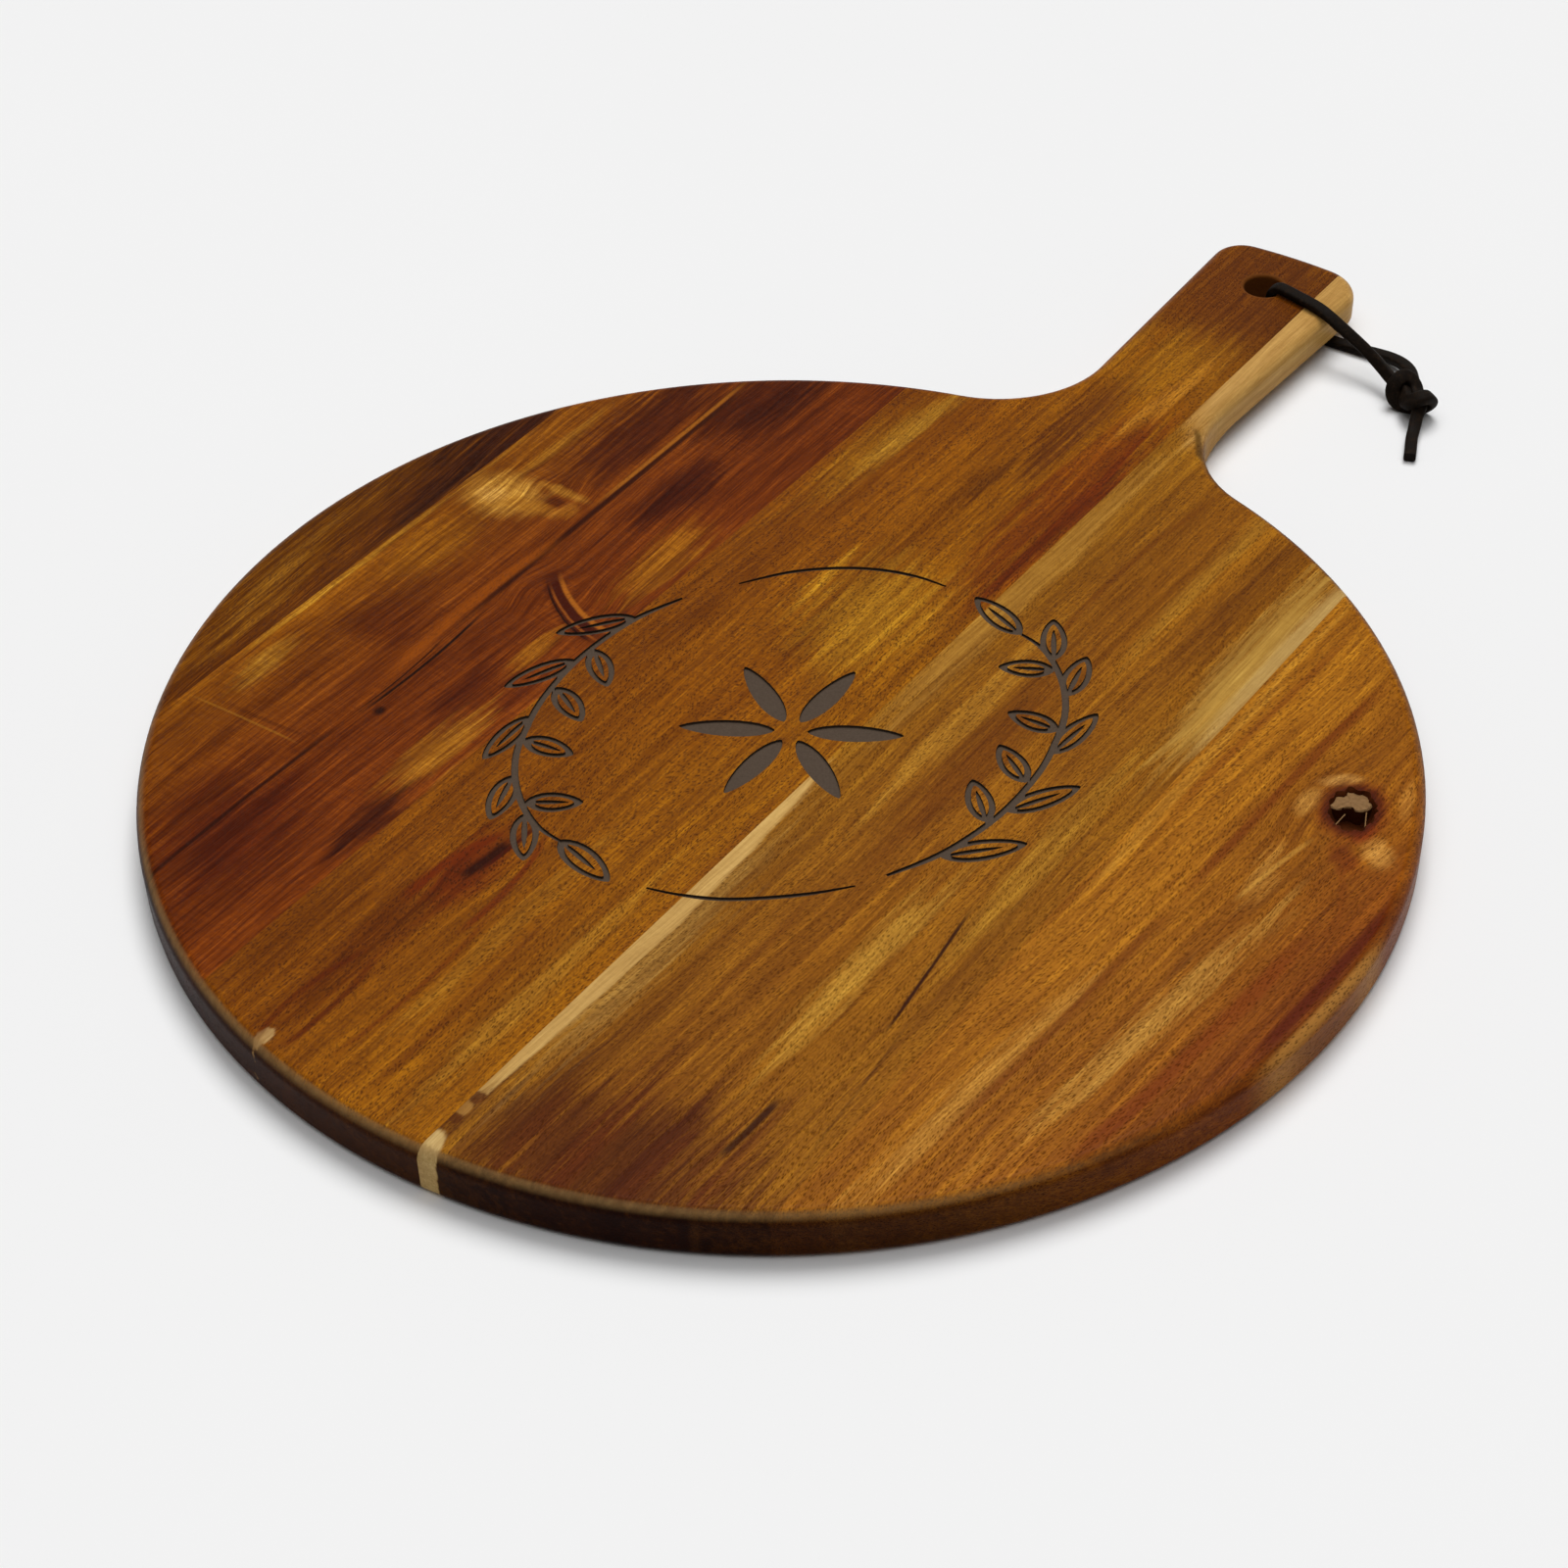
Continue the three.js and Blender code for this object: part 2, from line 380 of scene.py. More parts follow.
@dataclass(frozen=True)
class Timber:
    """The oiled wood of one stave."""

    name: str
    bands: tuple[Band, ...]
    patches: tuple[Patch, ...]
    veins: tuple[Vein, ...]
    swirls: tuple[Swirl, ...]
    streak: float
    pore: float
    pore_fine: float
    pore_run: float
    ripple: float
    cloud: float
    lean: float
    seed: float
    pore_colour: str = "#3c1904"
    cut_colour: str = "#421a04"
    # painted highlight: the pale colour laid on the front round-over in place of a reflection
    painted_highlight_colour: str = "#98774c"

    def material(self) -> bpy.types.Material:
        """Builds the wood's material.

        Returns:
            The material.
        """
        web = Web(self.name)
        x, y, z = web.split(web.place())
        at = Spot(web, x, y, z, across=x)
        at.across = self._flow(at)
        at.ragged = self._vary(at, at.across, EDGES)
        colour = self._bands(at)
        for patch in self.patches:
            share = self._patch_share(at, patch)
            colour = web.mix(share, colour, paint(patch.colour))
            if patch.clean:
                at.clean = share if at.clean is None else web.sum("MAXIMUM", at.clean, share)
        colour = self._shade(at, colour)
        for vein in self.veins:
            colour = self._lay_vein(at, colour, vein)
        colour, pores = self._pores(at, colour)
        web.surface(self._rim(at, colour), web.fade(pores, 0.0, 1.0, 0.34, 0.6), WOOD_SHEEN)
        web.emboss(web.sum("SUBTRACT", 1.0, pores), 0.12 * MM, 0.4)
        return web.material

    def _stretch(self, at: Spot, place: Socket, figure: Figure) -> Socket:
        """Makes variation that is drawn out along the grain.

        Args:
            at: the places on the wood.
            place: the place across to go by, straight or bent.
            figure: the pattern.

        Returns:
            The variation, from 0 to 1.
        """
        web = at.web
        where = web.join(web.sum("MULTIPLY_ADD", place, figure.fine, self.seed + figure.shift),
                         web.sum("MULTIPLY", at.y, figure.run), web.sum("MULTIPLY", at.z, figure.fine))
        return web.grain(where, 1.0, figure.detail, figure.rough)

    def _vary(self, at: Spot, place: Socket, figure: Figure) -> Socket:
        """Makes the same variation about 0.

        Args:
            at: the places on the wood.
            place: the place across to go by, straight or bent.
            figure: the pattern.

        Returns:
            The variation, from -0.5 to 0.5.
        """
        return at.web.sum("SUBTRACT", self._stretch(at, place, figure), 0.5)

    def _flow(self, at: Spot) -> Socket:
        """Bends the grain: the place across the board, pushed about by slow waves and round the knots.

        Args:
            at: the places on the wood.

        Returns:
            The bent place across.
        """
        web = at.web
        bent = web.sum("MULTIPLY_ADD", at.y, -self.lean, at.x)
        for figure in BENDS:
            bent = web.sum("MULTIPLY_ADD", self._vary(at, at.x, figure), figure.weight, bent)
        bent = web.sum("MULTIPLY_ADD", at.z, 0.3, bent)
        for swirl in self.swirls:
            dx = web.sum("SUBTRACT", at.x, swirl.x_mm)
            dy = web.sum("MULTIPLY", web.sum("SUBTRACT", at.y, swirl.y_mm), 1 / swirl.stretch)
            far = web.sum("SQRT", web.sum("MULTIPLY_ADD", dx, dx, web.sum("MULTIPLY", dy, dy)))
            pull = web.fade(far, 0.0, swirl.reach_mm, swirl.pull, 0.0)
            bent = web.sum("SUBTRACT", bent, web.sum("MULTIPLY", dx, pull))
        return bent

    def _bands(self, at: Spot) -> Socket:
        """Colours the stave in long stripes.

        Args:
            at: the places on the wood.

        Returns:
            The colour.
        """
        first, last = self.bands[0].x_mm, self.bands[-1].x_mm
        share = at.web.sum("DIVIDE", at.web.sum("SUBTRACT", at.across, first), last - first)
        stops = [((band.x_mm - first) / (last - first), paint(band.colour)) for band in self.bands]
        return at.web.ramp(share, stops)

    def _patch_share(self, at: Spot, patch: Patch) -> Socket:
        """Works out how much of a patch shows at each place.

        Args:
            at: the places on the wood.
            patch: the patch.

        Returns:
            The patch's share, from 0 to its strength.
        """
        web = at.web
        dx = web.sum("SUBTRACT", at.x, patch.x_mm)
        dy = web.sum("SUBTRACT", at.y, patch.y_mm)
        cosine, sine = math.cos(math.radians(patch.turn)), math.sin(math.radians(patch.turn))
        a = web.sum("MULTIPLY_ADD", dx, cosine / patch.half_width_mm,
                    web.sum("MULTIPLY", dy, sine / patch.half_width_mm))
        b = web.sum("MULTIPLY_ADD", dx, -sine / patch.half_length_mm,
                    web.sum("MULTIPLY", dy, cosine / patch.half_length_mm))
        far = web.sum("SQRT", web.sum("MULTIPLY_ADD", a, a, web.sum("MULTIPLY", b, b)))
        far = web.sum("MULTIPLY_ADD", at.ragged, patch.ragged, far)
        return web.fade(far, 1.1 - 0.8 * patch.soft, 1.1, patch.strength, 0.0)

    def _lay_vein(self, at: Spot, colour: Socket, vein: Vein) -> Socket:
        """Draws a thin bowed streak.

        Args:
            at: the places on the wood.
            colour: the wood so far.
            vein: the streak.

        Returns:
            The wood with the streak.
        """
        web, places = at.web, (at.x, at.y)
        first, mid, last = vein.start_mm, vein.middle_mm, vein.end_mm
        run, side = (0, 1) if abs(last[0] - first[0]) > abs(last[1] - first[1]) else (1, 0)
        t = (mid[run] - first[run]) / (last[run] - first[run])
        bow = ((mid[side] - first[side]) - (last[side] - first[side]) * t) / (t * t - t)
        slope = last[side] - first[side] - bow
        share = web.sum("DIVIDE", web.sum("SUBTRACT", places[run], first[run]), last[run] - first[run])
        line = web.sum("MULTIPLY_ADD", share, web.sum("MULTIPLY_ADD", share, bow, slope), first[side])
        off = web.sum("MULTIPLY_ADD", at.ragged, vein.wander_mm, web.sum("SUBTRACT", places[side], line))
        edge = web.fade(web.sum("ABSOLUTE", off), vein.half_width_mm * 0.3, vein.half_width_mm * 1.3,
                        vein.strength, 0.0)
        ends = web.fade(web.sum("ABSOLUTE", web.sum("SUBTRACT", share, 0.5)), 0.28, 0.5, 1.0, 0.0)
        return web.mix(web.sum("MULTIPLY", edge, ends), colour, paint(vein.colour))

    def _shade(self, at: Spot, colour: Socket) -> Socket:
        """Varies the brightness by growth lines, silky clouds and cross-grain ripple, redder where darker.

        Args:
            at: the places on the wood.
            colour: the wood so far.

        Returns:
            The wood with its growth lines and figure.
        """
        web = at.web
        clouds = self._stretch(at, at.x, CLOUDS)
        tone = web.sum("MULTIPLY", web.sum("SUBTRACT", clouds, 0.5), self.cloud)
        for figure in GROWTH_LINES:
            lines = self._vary(at, at.across, figure)
            tone = web.sum("MULTIPLY_ADD", lines, figure.weight * self.streak, tone)
        waves = web.sum("MULTIPLY", self._vary(at, at.x, RIPPLES), web.fade(clouds, 0.34, 0.6, 0.3, 1.0))
        tone = at.spare(web.sum("MULTIPLY_ADD", waves, self.ripple, tone), 0.2, 0.9, 0.5)
        shades = [web.sum("POWER", 2.0, web.sum("MULTIPLY", tone, push)) for push in (0.9, 1.15, 1.5)]
        return web.mix(1.0, colour, web.join(*shades), Blend.DARKEN)

    def _pores(self, at: Spot, colour: Socket) -> tuple[Socket, Socket]:
        """Scatters the short dark pores, leaning one way and the other from ribbon to ribbon.

        Args:
            at: the places on the wood.
            colour: the wood so far.

        Returns:
            The wood with its pores, and the pores' own pattern.
        """
        web = at.web
        ribbon = self._stretch(at, at.across, RIBBONS)
        leanings = []
        for lean, low, high in ((0.16, 0.40, 0.56), (-0.12, 0.58, 0.42)):
            cell = web.tree.nodes.new("ShaderNodeTexVoronoi")
            cell.inputs["Scale"].default_value = 1.0
            leaned = web.sum("MULTIPLY_ADD", at.y, lean, at.across)
            web.plug(cell.inputs["Vector"], web.join(web.sum("MULTIPLY", leaned, self.pore_fine),
                                                     web.sum("MULTIPLY_ADD", at.y, self.pore_run, self.seed),
                                                     web.sum("MULTIPLY", at.z, self.pore_fine)))
            size, _, _ = web.split(cell.outputs["Color"])
            dash = web.fade(web.sum("MULTIPLY_ADD", size, 0.3, cell.outputs["Distance"]), 0.2, 0.7, 1.0, 0.0)
            leanings.append(web.sum("MULTIPLY", dash, web.fade(ribbon, low, high)))
        total = at.spare(web.sum("MAXIMUM", *leanings), 0.1, 0.8, 0.12)
        return web.mix(web.sum("MULTIPLY", total, self.pore), colour, paint(self.pore_colour)), total

    def _rim(self, at: Spot, colour: Socket) -> Socket:
        """Darkens the wood where the rim cuts across the grain, and paints a pale highlight on the round-over
        in front.

        Args:
            at: the places on the wood.
            colour: the wood so far.

        Returns:
            The wood with its rim.
        """
        web = at.web
        _, along, up = web.facing()
        cut = at.spare(web.fade(web.sum("ABSOLUTE", along), 0.15, 0.8, 0.0, 0.9), 0.2, 0.8, 0.25)
        colour = web.mix(cut, colour, paint(self.cut_colour), Blend.DARKEN)
        # painted highlight: a pale band on the round-over, on the disc only and strongest where it faces the
        # front
        worn = web.fade(up, 0.35, 0.8)
        for limit in (web.fade(up, 0.9, 0.995, 1.0, 0.0), web.fade(at.ragged, -0.3, 0.25, 0.3, 0.55),
                      web.fade(at.y, 60.0, 160.0, 1.0, 0.0), web.fade(along, -0.55, -0.2, 1.0, 0.15)):
            worn = web.sum("MULTIPLY", worn, limit)
        return web.mix(worn, colour, paint(self.painted_highlight_colour))


@dataclass(frozen=True)
class Stain:
    """A plain coloured finish with a little variation, as in cuts and hollows."""

    name: str
    light: str
    dark: str
    scale: float
    roughness: float

    def material(self) -> bpy.types.Material:
        """Builds the stain's material.

        Returns:
            The material.
        """
        web = Web(self.name)
        spots = web.grain(web.place(), self.scale, 3.0, 0.6)
        web.surface(web.mix(spots, paint(self.dark), paint(self.light)), self.roughness, MATT_SHEEN)
        web.emboss(spots, 0.15 * MM, 0.4)
        return web.material


@dataclass(frozen=True)
class Leather:
    """The lace's matt dark leather."""

    name: str = "lace_leather"
    face: str = "#150f0a"
    worn: str = "#2a1f16"

    def material(self) -> bpy.types.Material:
        """Builds the leather's material.

        Returns:
            The material.
        """
        web = Web(self.name)
        place = web.place()
        fine = web.grain(place, 3.2, 4.0, 0.65)
        broad = web.grain(place, 0.5, 2.0)
        share = web.fade(web.sum("ADD", fine, broad), 0.95, 1.35)
        web.surface(web.mix(share, paint(self.face), paint(self.worn)), web.fade(broad, 0.3, 0.7, 0.5, 0.68),
                    MATT_SHEEN)
        web.emboss(fine, 0.12 * MM, 0.5)
        return web.material


class Pen:
    """Traces an outline as a chain of edges, by straight strokes and by turning about centres."""

    def __init__(self, bm: bmesh.types.BMesh, start: Vector) -> None:
        """Sets the pen down.

        Args:
            bm: the mesh to draw in.
            start: the first point.
        """
        self.bm = bm
        self.tip = bm.verts.new((start.x, start.y, 0.0))

    def go(self, point: Vector) -> None:
        """Draws a straight stroke.

        Args:
            point: where it ends.
        """
        new = self.bm.verts.new((point.x, point.y, 0.0))
        self.bm.edges.new((self.tip, new))
        self.tip = new

    def turn(self, centre: Vector, end: Vector, steps: int) -> None:
        """Turns about a centre, the shorter way, until it points at an end.

        Args:
            centre: the middle of the arc.
            end: a point in the direction where the arc stops.
            steps: how many strokes the arc has.
        """
        start = self.tip.co.xy - centre
        stop = end - centre
        angle = math.atan2(start.x * stop.y - start.y * stop.x, start.dot(stop))
        made = bmesh.ops.spin(self.bm, geom=[self.tip], cent=(centre.x, centre.y, 0.0), axis=(0, 0, 1),
                              angle=angle, steps=steps)
        self.tip = picked(made["geom_last"], bmesh.types.BMVert)[0]


def finish_mesh(name: str, bm: bmesh.types.BMesh, materials: list[bpy.types.Material]) -> bpy.types.Object:
    """Turns a bmesh into a piece at the origin.

    Args:
        name: the piece's name.
        bm: its mesh, which is freed.
        materials: its materials in order.

    Returns:
        The piece.
    """
    mesh = bpy.data.meshes.new(name)
    bm.to_mesh(mesh)
    bm.free()
    for material in materials:
        mesh.materials.append(material)
    piece = bpy.data.objects.new(name, mesh)
    bpy.context.scene.collection.objects.link(piece)
    return piece


def clamp(share: float) -> float:
    """Keeps a share between 0 and 1.

    Args:
        share: the share.

    Returns:
        The nearest number from 0 to 1.
    """
    return min(max(share, 0.0), 1.0)


def picked(made: list, kind: type) -> list:
    """Picks one kind of element out of what a mesh operator made.

    Args:
        made: everything that it made.
        kind: the mesh element's type.

    Returns:
        The elements of that kind.
    """
    return [element for element in made if isinstance(element, kind)]


def smooth(points: list[Vector], spacing: float) -> list[Vector]:
    """Runs a smooth line through a row of points.

    Args:
        points: the points to pass.
        spacing: about how far apart the line's own points are.

    Returns:
        The line's points.
    """
    line = [points[0]]
    for i in range(len(points) - 1):
        p0, p1, p2 = points[max(i - 1, 0)], points[i], points[i + 1]
        p3 = points[min(i + 2, len(points) - 1)]
        steps = max(2, round((p2 - p1).length / spacing))
        for step in range(1, steps + 1):
            t = step / steps
            line.append(0.5 * (2 * p1 + (p2 - p0) * t + (2 * p0 - 5 * p1 + 4 * p2 - p3) * t * t
                               + (3 * p1 - p0 - 3 * p2 + p3) * t ** 3))
    return line


class Cut(Enum):
    """What one shape does to another."""

    AWAY = "DIFFERENCE"
    ADD = "UNION"


def carve(piece: bpy.types.Object, cutter: bpy.types.Object, way: Cut = Cut.AWAY) -> None:
    """Cuts one piece's shape out of another or adds it, and gives the new faces the cutter's finish.

    Args:
        piece: the piece that is changed.
        cutter: the shape that is taken away or added.
        way: which of the two.
    """
    tool = piece.modifiers.new("carve", "BOOLEAN")
    tool.object = cutter
    tool.operation = way.value
    tool.solver = "EXACT"
    tool.use_self = way is Cut.AWAY
    tool.material_mode = "TRANSFER"
    cut = bpy.data.meshes.new_from_object(piece.evaluated_get(bpy.context.evaluated_depsgraph_get()))
    piece.modifiers.clear()
    if way is Cut.ADD:
        bm = bmesh.new()
        bm.from_mesh(cut)
        bmesh.ops.dissolve_verts(bm, verts=[v for v in bm.verts if len(v.link_edges) == 2])
        bm.to_mesh(cut)
        bm.free()
    old, piece.data = piece.data, cut
    cut.name = piece.name
    bpy.data.meshes.remove(old)


@dataclass
class Board:
    """The wooden board, cut from one outline into five staves."""

    radius: float = 178 * MM
    shoulder_flat: float = 3 * MM
    top_round: float = 4 * MM
    under_round: float = 2.5 * MM
    handle_x: float = 2 * MM
    root_half: float = 22 * MM
    tip_half: float = 26.8 * MM
    tip_y: float = 299 * MM
    neck_fillet: float = 38 * MM
    tip_arc: float = 160 * MM
    tip_corner_left: float = 11 * MM
    tip_corner_right: float = 14.5 * MM
    lift: float = 3.8 * MM
    lift_start: float = 190 * MM
    lift_end: float = 215 * MM
    lift_fade: float = 10 * MM
    lift_rows: int = 10
    hole_x: float = 0.8 * MM
    hole_y: float = 275.6 * MM
    hole_radius: float = 6.5 * MM
    hole_ease: float = 1.2 * MM
    hole_clearance: float = 1 * MM
    neck_steps: int = 20
    corner_steps_left: int = 12
    corner_steps_right: int = 14
    tip_steps: int = 16
    half_disc_steps: int = 120

    def _rim(self, way: Vector) -> float:
        """Measures from the middle to the rim: a circle away from the handle, flatter towards it.

        Args:
            way: the direction.

        Returns:
            The distance.
        """
        across, along = way.normalized()
        reach = self.radius - self.shoulder_flat if along > 0 else self.radius
        return 1 / math.hypot(across / self.radius, along / reach)

    def _side(self, axis_x: float, tip_corner: float) -> dict[str, Vector]:
        """Works out the centres and joints of the handle's right side.

        Args:
            axis_x: the handle's axis on this side.
            tip_corner: the radius of the corner at the handle's tip.

        Returns:
            Named points: the centres of the neck, corner and tip arcs, and where they meet.
        """
        flare = math.atan2(self.tip_half - self.root_half, self.tip_y - self.radius)
        along = Vector((math.sin(flare), math.cos(flare)))
        out = Vector((math.cos(flare), -math.sin(flare)))
        edge = out.dot(Vector((axis_x + self.root_half, self.radius)))
        reach = edge + self.neck_fillet
        neck = along
        for _ in range(4):
            neck = out * reach + along * math.sqrt((self._rim(neck) + self.neck_fillet) ** 2 - reach ** 2)
        tip = Vector((axis_x, self.tip_y - self.tip_arc))
        inner = edge - tip_corner - out.dot(tip)
        corner = tip + out * inner + along * math.sqrt((self.tip_arc - tip_corner) ** 2 - inner ** 2)
        return {
            "neck": neck,
            "neck_top": neck - out * self.neck_fillet,
            "corner": corner,
            "corner_start": corner + out * tip_corner,
            "tip": tip,
        }

    def blank(self) -> bmesh.types.BMesh:
        """Makes the whole board before it is cut: outline, thickness, rounded edges and raised handle.

        Returns:
            The board as one closed mesh.
        """
        bm = bmesh.new()
        right = self._side(self.handle_x, self.tip_corner_right)
        mirrored = self._side(-self.handle_x, self.tip_corner_left)
        left = {key: Vector((-point.x, point.y)) for key, point in mirrored.items()}
        middle = Vector((0, 0))
        pen = Pen(bm, right["neck"] - right["neck"].normalized() * self.neck_fillet)
        pen.turn(right["neck"], right["neck_top"], self.neck_steps)
        pen.go(right["corner_start"])
        pen.turn(right["corner"], right["corner"] * 2 - right["tip"], self.corner_steps_right)
        pen.turn(right["tip"], left["corner"], self.tip_steps)
        pen.turn(left["corner"], left["corner_start"], self.corner_steps_left)
        pen.go(left["neck_top"])
        pen.turn(left["neck"], middle, self.neck_steps)
        handle = set(bm.verts)
        pen.turn(middle, Vector((0, -self.radius)), self.half_disc_steps)
        pen.turn(middle, right["neck"], self.half_disc_steps)
        for vert in set(bm.verts) - handle:
            vert.co.xy = vert.co.xy.normalized() * self._rim(vert.co.xy)
        bmesh.ops.remove_doubles(bm, verts=bm.verts[:], dist=0.05 * MM)
        bmesh.ops.contextual_create(bm, geom=bm.edges[:])
        raised = bmesh.ops.extrude_face_region(bm, geom=bm.faces[:])["geom"]
        bmesh.ops.translate(bm, verts=picked(raised, bmesh.types.BMVert), vec=(0, 0, THICKNESS))
        bmesh.ops.recalc_face_normals(bm, faces=bm.faces[:])
        for height, size, steps in ((THICKNESS, self.top_round, 8), (0.0, self.under_round, 6)):
            rim = [e for e in bm.edges if all(abs(v.co.z - height) < WELD for v in e.verts)]
            bmesh.ops.bevel(bm, geom=rim, offset=size, offset_type="OFFSET", segments=steps, profile=0.5,
                            affect="EDGES", material=-1, clamp_overlap=True)
        self._raise_handle(bm)
        return bm

    def _raise_handle(self, bm: bmesh.types.BMesh) -> None:
        """Lifts the handle's underside off the table.

        Args:
            bm: the board.
        """
        for row in range(self.lift_rows + 1):
            y = self.lift_start + (self.lift_end - self.lift_start) * row / self.lift_rows
            bmesh.ops.bisect_plane(bm, geom=bm.verts[:] + bm.edges[:] + bm.faces[:], dist=WELD,
                                   plane_co=(0, y, 0), plane_no=(0, 1, 0))
        for vert in bm.verts:
            share = clamp((vert.co.y - self.lift_start) / (self.lift_end - self.lift_start))
            rise = self.lift * share * share * (3 - 2 * share)
            vert.co.z += rise * max(0.0, 1 - vert.co.z / self.lift_fade)

    def hole_cutter(self, wall: bpy.types.Material) -> bpy.types.Object:
        """Makes the hanging hole's shape, with eased edges, by turning its profile.

        Args:
            wall: the finish inside the hole.

        Returns:
            The cutter.
        """
        bm = bmesh.new()
        wide = self.hole_radius + self.hole_ease
        low, high = self.lift - self.hole_clearance, THICKNESS + self.hole_clearance
        eased = [(wide - self.hole_ease * math.sin(a), self.hole_ease * (1 - math.cos(a)))
                 for a in map(math.radians, (30, 60, 90))]
        profile = [(0.0, low), (wide, low), (wide, self.lift)]
        profile += [(radius, self.lift + rise) for radius, rise in eased]
        profile += [(radius, THICKNESS - rise) for radius, rise in reversed(eased)]
        profile += [(wide, THICKNESS), (wide, high), (0.0, high)]
        verts = [bm.verts.new((radius, 0.0, z)) for radius, z in profile]
        edges = [bm.edges.new(pair) for pair in zip(verts, verts[1:])]
        bmesh.ops.spin(bm, geom=verts + edges, cent=(0, 0, 0), axis=(0, 0, 1), angle=math.tau, steps=48,
                       use_merge=True)
        bmesh.ops.remove_doubles(bm, verts=bm.verts[:], dist=WELD)
        bmesh.ops.recalc_face_normals(bm, faces=bm.faces[:])
        bmesh.ops.translate(bm, verts=bm.verts[:], vec=(self.hole_x, self.hole_y, 0))
        return finish_mesh("hole_cutter", bm, [wall])


@dataclass
class Stave:
    """One stave of the board, between two glue lines."""

    name: str
    slot: str
    left: float
    right: float
    timber: Timber

    def build(self, blank: bmesh.types.BMesh) -> bpy.types.Object:
        """Cuts the stave out of the board.

        Args:
            blank: the whole board, which is left as it is.

        Returns:
            The stave.
        """
        bm = blank.copy()
        for x, way in ((self.left, -1), (self.right, 1)):
            if abs(x) >= OUTSIDE:
                continue
            bmesh.ops.bisect_plane(bm, geom=bm.verts[:] + bm.edges[:] + bm.faces[:], dist=0.0001 * MM,
                                   plane_co=(x, 0, 0), plane_no=(way, 0, 0), clear_outer=True)
            rim = [e for e in bm.edges if e.is_boundary]
            bmesh.ops.holes_fill(bm, edges=rim, sides=0)
        bmesh.ops.recalc_face_normals(bm, faces=bm.faces[:])
        return finish_mesh(self.name, bm, [self.timber.material()])

    def dress(self, piece: bpy.types.Object) -> None:
        """Smooths the stave's rounds, keeps its corners crisp and joins it to the frame.

        Args:
            piece: the stave after its cuts.
        """
        for face in piece.data.polygons:
            face.use_smooth = True
        piece.data.set_sharp_from_angle(angle=math.radians(35))
        bm = bmesh.new()
        bm.from_mesh(piece.data)
        for edge in bm.edges:
            if len({face.material_index for face in edge.link_faces}) > 1:
                edge.smooth = False
        bm.to_mesh(piece.data)
        bm.free()
        even = piece.modifiers.new("even_normals", "WEIGHTED_NORMAL")
        even.keep_sharp = True
        node = self.name.replace("_wood", "")
        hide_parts(node)
        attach(piece, BODY)


@dataclass(frozen=True)
class Leaf:
    """One leaf of the wreath, from its base to its tip, in millimetres on the board."""

    base_mm: tuple[float, float]
    tip_mm: tuple[float, float]
    width_mm: float


